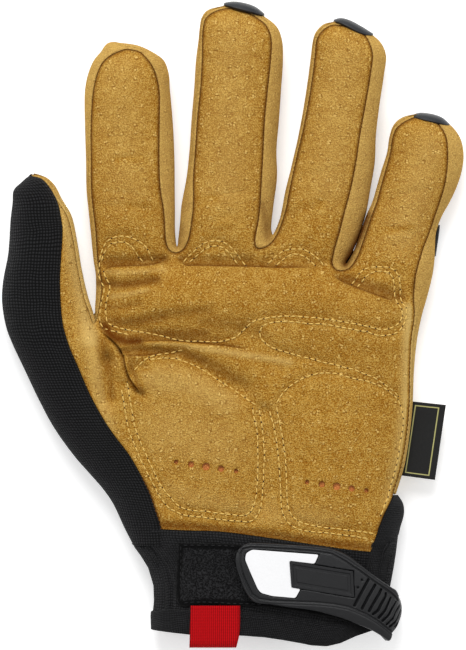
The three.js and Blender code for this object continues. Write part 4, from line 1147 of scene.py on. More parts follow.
# Folds: the leather of one side laps over the other. Each has its lip's pixels, with the lapping side on
# the right of the way along them, how high the lip stands, and how far the rise reaches back.
folds = {
    "thumb_base": (
        [(142, 396), (138, 388), (131, 378), (127, 366), (124, 355), (119, 346), (111, 338), (99, 330)],
        1.5, 5.0),
    "index_base": (
        [(103, 272), (110, 268), (125, 266.5), (150, 265.5), (161, 262.5), (168, 258), (174, 254.5)],
        0.95, 4.0),
    "middle_base": (
        [(176, 254.5), (180, 260), (185, 265.5), (195, 266), (220, 266.5), (250, 267), (275, 268), (300, 268),
         (322, 269)],
        0.95, 4.0),
    "little_base": (
        [(330, 275), (340, 281), (351, 286), (362, 290.5), (374, 295), (388, 300), (398, 303)], 0.95, 4),
    "palm_ridge": (
        [(121, 347.5), (128, 344.5), (137, 342), (158, 341), (179, 341.6), (200, 343.5), (232, 347),
         (255, 351)],
        1.1, 3.0),
    "thenar_lip": ([(124, 356), (132, 356), (146, 355.5), (158, 354), (170, 351.5)], 0.8, 3.0),
}
FOLD_OFFSETS = [-1.2, -0.7, -0.35, -0.12, 0.12, 0.35, 0.7, 1.2]
FOLD_EDGE = 0.16  # half the width of the step at a lip
FOLD_CLEAR = 1.6  # from the outline to the nearest point beside a fold
FAR = 1e9
# How deep and how wide the quilting pulls the leather in, and the groove in which its thread lies
QUILT_DEPTH, QUILT_WIDTH = 0.75, 2.4
THREAD_DEPTH, THREAD_WIDTH = 0.4, 0.8
QUILT_FREE = (0.5, 3.5)  # distances from a seam between which quilting and folds set in
# How strong the painted shade is in the palm's seams, along its quilting and under its folds
PALM_SEAM_SHADE = 0.7
QUILT_SHADE = 0.16
FOLD_SHADE = 0.95


def from_line(points, line):
    """Each point's distance from a line, positive on its right, and its share of the way along it."""
    best = np.full(len(points), FAR)
    signed = np.zeros(len(points))
    share = np.zeros(len(points))
    lengths = run_along(line)
    for i, (start, end) in enumerate(zip(line[:-1], line[1:])):
        away, t = away_from(points, start, end)
        along = end - start
        side = along[1] * (points[:, 0] - start[0]) - along[0] * (points[:, 1] - start[1])
        nearer = away < best
        best[nearer] = away[nearer]
        signed[nearer] = (away * np.sign(side))[nearer]
        share[nearer] = ((lengths[i] + t * (lengths[i + 1] - lengths[i])) / lengths[-1])[nearer]
    return signed, share


quilt_lines = [spline(from_photo(pixels), 1.0)[0] for pixels in quilting.values()]
fold_lines = [(spline(from_photo(pixels), 1.0)[0], lift, reach) for pixels, lift, reach in folds.values()]
thumb_corner = len(thumb_tip_inner) + len(THUMB_TIP) - 1
inner_end = row_places[first_row["index_thumb_side"] + len(STRIPS["index_thumb_side"]) - 1 - thumb_corner]
outer_start = row_places[first_row["thumb_back"] + len(thumb_tip_outer)]
wrist_end = row_places[first_row["thumb_back"] + len(STRIPS["thumb_back"]) - len(thumb_wrist)]
gusset_start = row_places[1]
palm_seams = np.vstack(
    [smooth_rows[gusset_start:inner_end + 1, :2], smooth_rows[outer_start + 1:wrist_end + 1, :2]])
wrist_line = spline(WRIST_EDGE, PALM_STEP)[0]
palm_outline = np.vstack([palm_seams, wrist_line[1:]])


def palm_shape(points):
    """Height of the palm leather and the painted shade at each point, in its seams, quilting and folds."""
    height = top_height(points)
    to_seam = nearest_distance(points, palm_seams)
    # Painted shade in the seams' valleys, weaker on the thumb
    painted_shading = PALM_SEAM_SHADE * bell(to_seam - 0.2, 0.7) * (1 - 0.75 * on_thumb(points))
    near_quilting = np.full(len(points), FAR)
    for line in quilt_lines:
        near_quilting = np.minimum(near_quilting, nearest_distance(points, line))
    free = smoothstep(*QUILT_FREE, to_seam)
    height -= free * QUILT_DEPTH * bell(near_quilting, QUILT_WIDTH)
    height -= free * THREAD_DEPTH * bell(near_quilting, THREAD_WIDTH)
    # Painted shade along the quilting grooves
    painted_shading = np.maximum(painted_shading, QUILT_SHADE * bell(near_quilting, 1))
    for line, lift, reach in fold_lines:
        signed, share = from_line(points, line)
        ends = smoothstep(0, 0.12, share) * smoothstep(1, 0.8, share)
        lip = lift * ends * np.exp(-np.maximum(signed, 0) / reach)
        valley = -lift * ends * np.exp(-np.maximum(-signed, 0) / (reach * 0.5))
        step = smoothstep(-FOLD_EDGE, FOLD_EDGE, signed)
        height += (lip * step + valley * (1 - step)) * free
        # Painted shade on the low side of each fold's lip
        shade = ends * np.exp(-np.maximum(-signed, 0) / (reach * 0.45)) * (1 - step)
        painted_shading = np.maximum(painted_shading, FOLD_SHADE * shade)
    height -= turned_down(to_seam, SEAM_ROLL)
    return height, painted_shading


def ring_inside(outline, distance):
    """The outline moved inwards, for a closed outline that runs counter-clockwise."""
    along = np.roll(outline, -1, axis=0) - np.roll(outline, 1, axis=0)
    along /= np.linalg.norm(along, axis=1)[:, None]
    return outline + distance * np.column_stack([-along[:, 1], along[:, 0]])


def beside_line(line, distance):
    """The line moved to its right."""
    along = np.gradient(line, axis=0)
    along /= np.linalg.norm(along, axis=1)[:, None]
    return line + distance * np.column_stack([along[:, 1], -along[:, 0]])


def well_inside(points, margin):
    """The points that lie inside the palm's outline and further than a margin from it."""
    return points[inside(points, palm_outline) & (nearest_distance(points, palm_outline) > margin)]


palm_extra = [well_inside(ring_inside(palm_outline, ring), ring * 0.75) for ring in PALM_RINGS]
for line, _, _ in fold_lines:
    palm_extra += [well_inside(beside_line(line, offset), FOLD_CLEAR) for offset in FOLD_OFFSETS]
hole_turn = np.arange(HOLE_SIDES) / HOLE_SIDES * 2 * math.pi
hole_circle = np.column_stack([np.cos(hole_turn), np.sin(hole_turn)])
holes = []
for row in HOLE_ROWS:
    first_hole, last_hole = from_photo(row)
    for i, diameter in enumerate(HOLE_DIAMETERS):
        centre = first_hole + (last_hole - first_hole) * i / (len(HOLE_DIAMETERS) - 1)
        holes.append((centre, diameter / 2))
        palm_extra += [centre + hole_circle * (diameter / 2 + margin) for margin in HOLE_MARGINS]
palm_points, palm_faces = fill_outline(palm_outline, PALM_STEP, palm_extra)
for centre, radius in holes:
    from_hole = np.linalg.norm(palm_points[palm_faces].mean(1) - centre, axis=1)
    palm_faces = palm_faces[from_hole > radius * 0.97]
palm_height, palm_painted_shading = palm_shape(palm_points)
palm_painted_shading = add_painted_light(palm_points, palm_painted_shading)
for centre, radius in holes:
    rim = np.linalg.norm(palm_points - centre, axis=1) - radius
    palm_height -= HOLE_SINK * np.exp(-np.maximum(rim, 0) / HOLE_SOFT) * (rim < HOLE_RIM)
    palm_painted_shading = np.where(rim < HOLE_CLEAN, 0.0, palm_painted_shading)
palm = add_mesh(
    "palm_suede", np.column_stack([palm_points, palm_height]), palm_faces.tolist(), {"painted_shading": palm_painted_shading})
finish_piece(palm, "palm_leather", suede, LEATHER)

# Stitching
# Yellow-tan thread quilts the pads with a stitch of 2.6 mm, and dark brown thread closes the finger seams.
# The needle leaves a small hole between two stitches, marked by a small near-black blob as painted shade.

STITCH_PITCH = 2.6
STITCH_LENGTH = 2.1
THREAD_RADIUS = 0.27
STITCH_SWAY = 0.1  # how far a stitch end strays from the line
HOLE_RADIUS = 0.3
HOLES_SHOWN = 0.6  # share of the needle holes that the thread leaves open
QUILT_LIFT = 0.2  # of a stitch above the leather
SEAM_PITCH = 1.9
SEAM_STITCH = 1.6
SEAM_RADIUS = 0.3
SEAM_LIFT = 0.18
SEWN_STRIPS = [name for name in STRIPS if name != "wrist_gusset"]
NEEDLE_HOLE_SHADE = (0.035, 0.012, 0.003)


def base_shape(radius, length):
    """Vertices and faces of one short thread stitch along X, in mm, from a small sphere that is drawn out."""
    bpy.ops.object.select_all(action="DESELECT")
    bpy.ops.mesh.primitive_uv_sphere_add(segments=6, ring_count=5, radius=1, rotation=(0, math.pi / 2, 0))
    ball = bpy.context.object
    bpy.ops.object.transform_apply(rotation=True)
    points = np.array([v.co for v in ball.data.vertices])
    faces = [list(face.vertices) for face in ball.data.polygons]
    bpy.data.objects.remove(ball)
    return points * (length / 2, radius, radius), faces


def joined_copies(name, base, frames, material):
    """One mesh of many copies of a base shape, each put at a place with its own axes."""
    points, faces = base
    all_points, all_faces = [], []
    for place, axes in frames:
        all_faces += [[index + len(all_points) * len(points) for index in face] for face in faces]
        all_points.append(points @ axes + place)
    piece = add_mesh(name, np.vstack(all_points), all_faces)
    piece.data.materials.append(material)
    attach(piece, "root")


def axes_along(direction):
    forward = direction / np.linalg.norm(direction)
    side = np.cross((0, 0, 1), forward)
    side /= np.linalg.norm(side)
    return np.array([forward, side, np.cross(forward, side)])


def stitch_frames(line, pitch, height_of, lift):
    """Where the stitches along a line lie, and the needle holes between them."""
    even = spline(line, 0.25)[0]
    lengths = run_along(even)
    count = max(int(lengths[-1] / pitch), 1)
    marks = np.linspace(0, lengths[-1], count + 1)
    places = np.column_stack([np.interp(marks, lengths, column) for column in even.T])
    places += np.random.default_rng(count).normal(0, STITCH_SWAY, places.shape)
    solid = np.column_stack([places, height_of(places) + lift])
    middles = (solid[1:] + solid[:-1]) / 2
    return [(middle, axes_along(step)) for middle, step in zip(middles, np.diff(solid, axis=0))], solid


def make_thread(name, colour):
    material, tree, shader = start_material(name, 0.6, specular=0.1)
    twist = noise_value(tree, surface_place(tree), 2600.0, 2.0)
    shade = value_range(tree, twist, 0.35, 0.65, 0.55, 1.0)
    darker = tuple(0.4 * channel for channel in colour)
    tree.links.new(blend_colours(tree, shade, darker, colour), shader.inputs["Base Color"])
    bumped(tree, shader, twist, 0.00015)
    return material


def palm_surface(points):
    return palm_shape(points)[0]


def seam_valley(points):
    return top_height(points) - SEAM_ROLL


quilt_thread = make_thread("tan_thread", (0.84, 0.57, 0.16))
seam_thread = make_thread("brown_thread", (0.15, 0.055, 0.008))
# Near-black blobs at the open stitch ends: painted shade for the needle holes
needle_shade_material, _, needle_shader = start_material("needle_hole_shade", 1.0)
needle_shader.inputs["Base Color"].default_value = (*NEEDLE_HOLE_SHADE, 1)
quilt_frames, hole_frames = [], []
for line in quilt_lines:
    found, ends = stitch_frames(line, STITCH_PITCH, palm_surface, QUILT_LIFT)
    quilt_frames += found
    open_ends = ends[np.random.default_rng(len(ends)).random(len(ends)) < HOLES_SHOWN]
    hole_frames += [(end - (0, 0, QUILT_LIFT), np.eye(3)) for end in open_ends]
joined_copies("quilt_stitches", base_shape(THREAD_RADIUS, STITCH_LENGTH), quilt_frames, quilt_thread)
joined_copies("needle_hole_shade_marks", base_shape(HOLE_RADIUS, HOLE_RADIUS * 2), hole_frames, needle_shade_material)
seam_frames = []
for name in SEWN_STRIPS:
    found = stitch_frames(rows_of(name)[:, :2], SEAM_PITCH, seam_valley, SEAM_LIFT)[0]
    seam_frames += [frame for frame in found if on_thumb(frame[0][None, :2])[0] < 0.5]
joined_copies("seam_stitches", base_shape(SEAM_RADIUS, SEAM_STITCH), seam_frames, seam_thread)

# Cuff
# A flattened tube of black textile round the wrist. It starts under the palm leather, a seam runs down it
# on the thumb side, and a band folded round its mouth binds the edge.

CUFF_SIDES = np.array([  # y, left and right
    [-84, -41.8, 66], [-88.4, -39.8, 65.5], [-92, -37, 65], [-97, -33.9, 64.2],
    [-104, -31.8, 62.8], [-110, -31.6, 61.6], [-116, -32.2, 60.2], [-123, -32, 56.6],
    [-130, -31.6, 52],
])
CUFF_LEFT, CUFF_WIDTH = -33, 95  # about where its columns lie
CUFF_BOTTOM = 1.4
CUFF_WALL = 1.2
CUFF_LAP = 3.5  # how far it reaches under the leather
CUFF_PAST = 1.5  # how far it reaches past the mouth's line, inside the hem
UNDER_LAP = 2.1  # how far down it lies there
CUFF_WAVES = (0.35, 9, 4.4)  # height, length and seed
# The grooves of its seam and of the row sewn beside it: distance from the seam, depth and width
CUFF_GROOVES = [(0, 0.7, 0.8), (2.4, 0.25, 1.0)]
# The y of the lap under the strip beside the slit, and under the textile of the thumb side
SLIT_LAP, THUMB_LAP = -83.0, -88.3
COVERING_EDGE = np.array(WRIST_EDGE + [[58.0, SLIT_LAP]])
MOUTH = np.array([
    [-45, -120.6], [-33, -120.8], [-17, -122.2], [3, -122.4], [15, -123.2], [23, -124.2], [31, -125.4],
    [37, -126.4], [44, -126.8], [49, -125.6], [54, -122.8], [60, -120.6], [68, -119.4],
])
UPPER_COLUMNS = 110
LOWER_COLUMNS = 40
CUFF_RINGS = 44
SIDE_SEAM = [(161, 527), (166, 550), (168.5, 575), (169, 607)]  # in photo pixels
cuff_seam = spline(from_photo(SIDE_SEAM), 1.0)[0]


def lap_line(x):
    """The y of the edge that covers the start of the cuff."""
    return np.where(x < COVERING_EDGE[0, 0], THUMB_LAP, np.interp(x, *COVERING_EDGE.T))


def mouth_line(x):
    return np.interp(x, *MOUTH.T)


def cuff_section(x_share, y, upper, shrink):
    """Points of the tube at shares of its width, on its upper or lower side, sunk by a distance."""
    left, right = (np.interp(-y, -CUFF_SIDES[:, 0], CUFF_SIDES[:, side]) for side in (1, 2))
    x = (left + shrink) + (right - left - 2 * shrink) * x_share
    if upper:
        top = cuff_surface(np.column_stack([left + (right - left) * x_share, y]))
        rounded = np.sqrt(np.maximum(1 - (2 * x_share - 1) ** 2, 0))
        return np.column_stack([x, y, top - shrink * np.minimum(rounded * 2, 1)])
    near = np.minimum(x_share, 1 - x_share) * (right - left) / (BELLY - CUFF_BOTTOM)
    drop = (BELLY - CUFF_BOTTOM) * np.sqrt(np.maximum(1 - (1 - np.minimum(near, 1)) ** 2, 0))
    return np.column_stack([x, y, BELLY - drop + shrink * np.minimum(near * 2, 1)])


def cuff_tube(rows, sink):
    """Rings of the tube. Each row gives every column's y from its x, and each point is sunk by sink(x, y)."""
    upper = 0.5 - 0.5 * np.cos(np.linspace(0, math.pi, UPPER_COLUMNS))
    lower = 0.5 + 0.5 * np.cos(np.linspace(0, math.pi, LOWER_COLUMNS + 2))[1:-1]
    rings = []
    for row in rows:
        ring = []
        for shares, is_upper in ((upper, True), (lower, False)):
            x = CUFF_LEFT + CUFF_WIDTH * shares
            ring.append(cuff_section(shares, row(x), is_upper, sink(x, row(x))))
        rings.append(np.vstack(ring))
    grid = np.stack(rings)
    flat = grid.reshape(-1, 3)
    waves = CUFF_WAVES[0] * ripple(flat[:, :2], *CUFF_WAVES[1:])
    flat[:, 2] += waves * smoothstep(BELLY, BELLY + 4, flat[:, 2])
    return grid


def face_outwards(piece):
    bpy.ops.object.select_all(action="DESELECT")
    bpy.context.view_layer.objects.active = piece
    bpy.ops.object.mode_set(mode="EDIT")
    bpy.ops.mesh.select_all(action="SELECT")
    bpy.ops.mesh.normals_make_consistent(inside=False)
    bpy.ops.object.mode_set(mode="OBJECT")


def tube_piece(name, node, grid, material, thickness):
    """A textile tube from its rings, with cloth coordinates round it and down it."""
    rows, columns = grid.shape[:2]
    around = run_along(grid[rows // 2])
    down = np.cumsum(np.linalg.norm(np.diff(grid, axis=0, prepend=grid[:1]), axis=2), axis=0)
    uv = np.stack([np.repeat(around[None], rows, 0), down], axis=2).reshape(-1, 2) * MM
    piece = add_mesh(name, grid.reshape(-1, 3), grid_faces(rows, columns, loop=True), uv=uv)
    face_outwards(piece)
    finish_piece(piece, node, material, thickness)
    piece.data.shade_smooth()


def cuff_sink(x, y):
    """How far the cuff lies below its plain shape: where it is covered, and along its seam."""
    under = UNDER_LAP * smoothstep(0.0, 1.2, y - lap_line(x))
    seam = np.abs(x - np.interp(-y, -cuff_seam[:, 1], cuff_seam[:, 0]))
    for place, depth, width in CUFF_GROOVES:
        under = under + depth * bell(seam - place, width)
    return under


def cuff_row(share):
    """The y of the ring at a share of the way down the cuff, as a function of x."""
    def row(x):
        return lap_line(x) + CUFF_LAP + (mouth_line(x) + CUFF_PAST - lap_line(x) - CUFF_LAP) * share
    return row


cuff_rings = cuff_tube([cuff_row(share) for share in np.linspace(0, 1, CUFF_RINGS)], cuff_sink)
cuff_knit = make_cloth("cuff_knit", 0.0011, fuzz=0.8)
tube_piece("cuff_tube", "cuff_textile", cuff_rings, cuff_knit, CUFF_WALL)

# Hem
# A band of smooth black woven tape that binds the mouth of the cuff. It is folded round the edge and sewn
# through with one row of stitches.

HEM_WIDTH = 8.4
HEM_NARROW = 0.78  # the share of its width at the thumb side
HEM_WIDENS = (-33, -26)  # the x between which it widens
HEM_RISE = 0.8
HEM_THICK = 0.9
HEM_FOLD = 1.5  # the tape's inner half lies this far inside the cuff
HEM_ROLL = 0.6
HEM_PAST = 0.5  # how far past the mouth's line its fold begins
HEM_OUTER_SHARES = [0, 0.03, 0.08, 0.16, 0.3, 0.45, 0.6, 0.75, 0.88, 0.96]
HEM_INNER_SHARES = [0.7, 0.4, 0.1]
HEM_TURNS = 7
HEM_STITCHES = [(238, 615), (270, 617), (305, 621.5), (345, 627)]  # in photo pixels
BLACK_PITCH = 2.4
BLACK_STITCH = 1.7
BLACK_RADIUS = 0.22


def hem_ring(line, lift):
    """A ring of the tape along a line, lifted from the cuff's surface."""
    return cuff_tube([line], lambda x, y: np.full(len(x), -lift))[0]


def hem_row(share):
    """The y of the tape at a share of the way from its edge to the fold, as a function of x."""
    def row(x):
        width = HEM_WIDTH * (HEM_NARROW + (1 - HEM_NARROW) * smoothstep(*HEM_WIDENS, x))
        return mouth_line(x) + width * (1 - share) - HEM_PAST * share
    return row


def fold_row(past):
    """The y of the fold, which reaches a distance past the tape's halves."""
    return lambda x: mouth_line(x) - HEM_PAST - past


hem_rings = []
for share in HEM_OUTER_SHARES:
    hem_rings.append(hem_ring(hem_row(share), HEM_RISE - turned_down(share * HEM_WIDTH, HEM_ROLL)))
for angle in np.linspace(0, math.pi, HEM_TURNS):
    lift = (HEM_RISE - HEM_FOLD) / 2 + (HEM_RISE + HEM_FOLD) / 2 * math.cos(angle)
    hem_rings.append(hem_ring(fold_row(HEM_ROLL * math.sin(angle)), lift))
for share in HEM_INNER_SHARES:
    hem_rings.append(hem_ring(hem_row(share), -HEM_FOLD))
hem_tape = make_cloth("hem_tape", 0.0007, fuzz=0.5, depth=0.00018)
tube_piece("hem_tape_band", "hem_binding", np.stack(hem_rings), hem_tape, HEM_THICK)
black_thread = make_thread("black_thread", (0.019, 0.019, 0.020))
black_stitch = base_shape(BLACK_RADIUS, BLACK_STITCH)
hem_frames = stitch_frames(from_photo(HEM_STITCHES), BLACK_PITCH, cuff_surface, HEM_RISE + 0.15)[0]
joined_copies("hem_stitches", black_stitch, hem_frames, black_thread)

# Loop patch
# Black loop tape across the upper side of the cuff, which a hook tape can grip. Its face is a fuzz of fine
# loops with a plain sewn margin round it.

PATCH_OUTLINE = [  # in photo pixels
    (178, 541), (200, 541.5), (240, 543), (270, 550), (310, 558), (335, 566), (345, 590), (352, 621),
    (341, 618.5), (330, 616), (310, 612.5), (290, 609), (265, 606), (240, 604.5), (205, 603), (179, 603),
]
PATCH_STITCHES = [  # in photo pixels
    [(181.5, 544), (181, 572), (181.5, 601)], [(190, 545), (189.5, 572), (190, 600)],
    [(183, 601), (205, 600.5), (240, 602), (262, 603)], [(183, 543.5), (210, 544), (236, 545)],
]
PATCH_LIFT = 1.2
PATCH_THICK = 0.9
PATCH_MARGIN = 2.2
PATCH_STEP = 0.8
PATCH_ROLL = 0.7
FUZZ_RISE = 0.3  # how far the loops stand above the margin
FUZZ_WAVES = (0.2, 1.3, 2.7)  # height, length and seed
FUZZ_GROOVE = (0.3, 0.5)  # depth and width of the groove between loops and margin
LOOP_VALLEY_SHADE = (0.0016, 0.0016, 0.0017)


def make_loop_fuzz():
    material, tree, shader = start_material("loop_fuzz", 0.95, specular=0.1, sheen=0.04)
    place = surface_place(tree)
    tangle = noise_value(tree, place, 1900.0, 3.0, 0.7, 1.2)
    clumps = shade_node(tree, "ShaderNodeTexVoronoi", {"Vector": place, "Scale": 1400.0})
    margin = shade_node(tree, "ShaderNodeAttribute", attribute_name="margin").outputs["Fac"]
    height = plus(tree, tangle, times(tree, clumps.outputs["Distance"], 0.6))
    height = times(tree, height, value_range(tree, margin, 0.0, 1.0, 1.0, 0.6))
    # The loops' tops are painted lighter and their valleys darker: painted highlight and painted shade
    lit = value_range(tree, height, 0.68, 1.02)
    tree.links.new(blend_colours(tree, lit, LOOP_VALLEY_SHADE, CLOTH_LIT), shader.inputs["Base Color"])
    bumped(tree, shader, height, 0.0007)
    return material


patch_outline = spline(from_photo(PATCH_OUTLINE + PATCH_OUTLINE[:1]), 1.0)[0][:-1][::-1]
patch_points, patch_faces = fill_outline(patch_outline, PATCH_STEP)
patch_edge = nearest_distance(patch_points, patch_outline)
patch_height = cuff_surface(patch_points) + PATCH_LIFT - turned_down(patch_edge, PATCH_ROLL)
patch_margin = smoothstep(PATCH_MARGIN + 0.5, PATCH_MARGIN - 0.5, patch_edge)
fuzz_waves = FUZZ_WAVES[0] * ripple(patch_points, *FUZZ_WAVES[1:])
patch_height += (FUZZ_RISE + fuzz_waves) * (1 - patch_margin)
patch_height -= FUZZ_GROOVE[0] * bell(patch_edge - PATCH_MARGIN, FUZZ_GROOVE[1])
patch = add_mesh(
    "loop_tape", np.column_stack([patch_points, patch_height]), patch_faces.tolist(),
    {"margin": patch_margin})
finish_piece(patch, "loop_patch", make_loop_fuzz(), PATCH_THICK)
patch_frames = []
for pixels in PATCH_STITCHES:
    patch_frames += stitch_frames(from_photo(pixels), BLACK_PITCH, cuff_surface, PATCH_LIFT + 0.1)[0]
joined_copies("patch_stitches", black_stitch, patch_frames, black_thread)

# Pull loop
# A loop to pull the glove on by. It is a red ribbon, woven with ribs along it, folded double and sewn to the
# hem.

RIBBON_THICK = 0.8
RIBBON_LEFT = [(191, 604), (190.4, 618), (190, 632), (189.6, 646)]  # in photo pixels
RIBBON_RIGHT = [(240, 604), (240, 618), (239.4, 632), (236, 647)]
RIBBON_TOP = 22.8  # z of its upper layer
RIBBON_UNDER = 18.2  # and of its lower one
RIBBON_FOLD = 3.0  # length of the rounded fold
RIBBON_END = -117.5  # the y where its lower half ends
RIBBON_COLUMNS = 13
RIBBON_POINTS = (18, 16, 9)  # along its upper layer, its fold and its lower layer
RIBBON_ARCH = 0.25  # how far its middle stands above its edges
RIBBON_SAG = 0.2
RIBBON_RIB = 0.00078  # between two ribs, in metres
RIBBON_PICK = 0.0006  # between two of the threads across it
RIBBON_VALLEY_SHADE = (0.22, 0.0015, 0.003)
RIBBON_RED = (0.62, 0.0035, 0.007)


def make_ribbon():
    material, tree, shader = start_material("red_ribbon", 0.75, specular=0.08)
    split = shade_node(tree, "ShaderNodeSeparateXYZ", {"Vector": surface_place(tree, "UV")}).outputs
    ribs, picks = (
        arithmetic(tree, "SINE", times(tree, split[axis], 2 * math.pi / spacing))
        for axis, spacing in (("X", RIBBON_RIB), ("Y", RIBBON_PICK)))
    height = plus(tree, ribs, times(tree, picks, 0.35))
    # Darker in the valleys between the ribs, a painted shade
    shade = value_range(tree, height, -1.2, 1.0)
    tree.links.new(blend_colours(tree, shade, RIBBON_VALLEY_SHADE, RIBBON_RED), shader.inputs["Base Color"])
    bumped(tree, shader, height, 0.00012)
    return material


ribbon_left, ribbon_right = (spline(from_photo(side), 0.5)[0] for side in (RIBBON_LEFT, RIBBON_RIGHT))
fold_start = ribbon_left[-1, 1] + RIBBON_FOLD
ribbon_middle = (RIBBON_TOP + RIBBON_UNDER) / 2
ribbon_half = (RIBBON_TOP - RIBBON_UNDER) / 2
ribbon_side = [(y, RIBBON_TOP) for y in np.linspace(ribbon_left[0, 1], fold_start, RIBBON_POINTS[0])]
ribbon_side += [
    (fold_start - RIBBON_FOLD * math.sin(angle), ribbon_middle + ribbon_half * math.cos(angle))
    for angle in np.linspace(0, math.pi, RIBBON_POINTS[1])[1:]]
ribbon_side += [(y, RIBBON_UNDER) for y in np.linspace(fold_start, RIBBON_END, RIBBON_POINTS[2])[1:]]
ribbon_side = np.array(ribbon_side)
ribbon_shares = np.linspace(0, 1, RIBBON_COLUMNS)
left_x, right_x = (
    np.interp(-ribbon_side[:, 0], -side[:, 1], side[:, 0]) for side in (ribbon_left, ribbon_right))
ribbon_x = left_x[:, None] + (right_x - left_x)[:, None] * ribbon_shares
ribbon_y = np.repeat(ribbon_side[:, :1], RIBBON_COLUMNS, 1)
ribbon_z = ribbon_side[:, 1:] + RIBBON_ARCH * np.sin(ribbon_shares * math.pi) - RIBBON_SAG
ribbon_grid = np.stack([ribbon_x, ribbon_y, ribbon_z], axis=2)
ribbon_run = np.repeat(run_along(ribbon_side)[:, None], RIBBON_COLUMNS, 1)
ribbon_uv = np.stack([ribbon_x - ribbon_x[:1, :1], ribbon_run], axis=2).reshape(-1, 2) * MM
ribbon_faces = [face[::-1] for face in grid_faces(*ribbon_grid.shape[:2])]
ribbon = add_mesh("pull_ribbon", ribbon_grid.reshape(-1, 3), ribbon_faces, uv=ribbon_uv)
finish_piece(ribbon, "pull_loop", make_ribbon(), RIBBON_THICK)

# Closure tab
# A strip of moulded black rubber, which lies over the cuff and wraps round its little finger side. A double
# rim runs round its face, and the end that bends down is cut into chevron ribs for grip.

TAB_ROWS = np.array([  # x along the flattened tab, then the y of its lower and upper edge
    [0.9, -94, -92.4], [1.5, -97, -90.2], [2.8, -100.8, -88.4], [5.2, -106.4, -86.8],
    [8.4, -110, -86.4],
    [15, -111, -86.6], [23, -112.2, -87.2], [31, -113.2, -87.7], [38.8, -115.1, -88.7],
    [44.8, -116.9, -91], [50.8, -119.4, -95.4], [54.8, -121.1, -98.6], [58.8, -123.4, -101.4],
    [61.4, -125, -102.9], [62.6, -125.5, -103.6], [63.4, -124.6, -104], [64.2, -122.6, -104.4],
    [66, -121.2, -105.2], [67.2, -120.2, -106.4], [68.4, -119.2, -107.6], [71, -117.2, -109],
    [78, -116.6, -110], [85, -116.2, -110.6],
])
TAB_TOP = 26.0  # z of its face
TAB_REACH = 67.3  # x of its side that hangs down
TAB_CORNER = 9.0  # radius of the bend between them
TAB_THICK = 3.0
TAB_CROWN = 0.7  # how far its long edges lie below its middle
TAB_RIM = 0.45  # how far the rim stands above the field
TAB_RIM_WIDTH = 1.0  # of the rim's inner half
# Depth and width of the groove at the field's edge, and of the one between the rim's halves
FIELD_GROOVE = (0.5, 0.3)
RIM_GROOVE = (0.3, 0.22)
TAB_RIB_START = 50.0  # from here on its points lie closer
BEND_X = TAB_REACH - TAB_CORNER
# The field inside the rim, in photo pixels, from the upper left clockwise. Its end lies round the bend.
TAB_FIELD = [
    (243, 547), (250, 545.5), (270, 546.3), (290, 547.3), (315, 549.5), (331, 552), (345, 559.5),
    (352, 564.5), (360, 569.5), (368, 575.5), (375, 580.5), (382, 585), (388, 589), (394, 594),
    (397.5, 599),
]
TAB_FIELD_LOWER = [
    (392, 631), (384, 624.5), (376, 618.3), (366, 612.5), (356, 608), (348, 605), (334, 602.2), (320, 600.8),
    (310, 600.2), (290, 599.5), (270, 598.7), (259, 597), (252, 592), (246, 580), (242.5, 571), (240, 560),
    (240.3, 552),
]
TAB_RIBS = [  # the grooves between the ribs, in photo pixels
    [(367.5, 577.5), (360, 591), (353.5, 603.5)],
    [(374, 583), (367, 595), (361, 606.5)],
    [(380, 587.5), (378.5, 591), (373, 600), (368, 609)],
    [(385, 591.5), (384.5, 594.5), (380, 602), (377, 608), (372, 612)],
    [(390, 596), (388, 600), (383.5, 609), (377.5, 615.5)],
    [(395.5, 600), (391.5, 606), (388, 612.5), (381.5, 618.5)],
    [(398.7, 604), (395.5, 609), (392.5, 616), (386, 622)],
    [(399.6, 609), (397.4, 615), (395, 620), (389, 624.5)],
]
RIB_WIDTH = 0.9
RIB_DEPTH = 1.5
SIDE_RIBS = 4  # grooves on the part that hangs down the side
SIDE_RIB_PITCH = 3.0
TAB_DOTS = [(361, 578), (357, 585.5)]  # the two round dimples, in photo pixels
DOT_DEPTH = 0.9
DOT_EDGE = (0.55, 0.4)  # the radii between which a dimple goes down
INSET_OUTLINE = [  # in photo pixels
    (246, 551.5), (252, 548), (318, 553), (314, 562), (289, 559), (291, 585.5), (300, 587), (295, 596),
    (272, 594), (261, 591), (257.5, 587), (250, 570), (245, 558),
]
PLATE_OUTLINE = [(289.3, 559.3), (352, 569.5), (353.3, 595.3), (291, 585)]
POCKET_GAP = 0.3  # between a pocket's wall and the plate in it
POCKET_DEPTH = 1.2
TAB_ROUNDING = 0.7  # of its outer edge
# The corners of the field where it runs on past the photographed part, down the side
FIELD_SIDE = [(70.0, -104.0), (88.0, -104.0), (88.0, -125.0), (66.0, -125.0)]
TAB_GRID = (380, 85)  # rows along the tab and points across it


def unrolled(points):
    """Places on the flattened tab of points seen from above."""
    over = np.clip((points[:, 0] - BEND_X) / TAB_CORNER, 0, 1)
    along = np.where(points[:, 0] > BEND_X, BEND_X + TAB_CORNER * np.arcsin(over), points[:, 0])
    return np.column_stack([along, points[:, 1]])


def grown(outline, distance):
    """A closed outline with each side moved outwards."""
    ahead = np.roll(outline, -1, axis=0)
    area = (outline[:, 0] * ahead[:, 1] - ahead[:, 0] * outline[:, 1]).sum()
    along = ahead - outline
    normal = np.column_stack([along[:, 1], -along[:, 0]]) * np.sign(area)
    normal /= np.linalg.norm(normal, axis=1)[:, None]
    middle = normal + np.roll(normal, 1, axis=0)
    middle /= np.linalg.norm(middle, axis=1)[:, None]
    return outline + middle * (distance / np.maximum((middle * normal).sum(1), 0.4))[:, None]


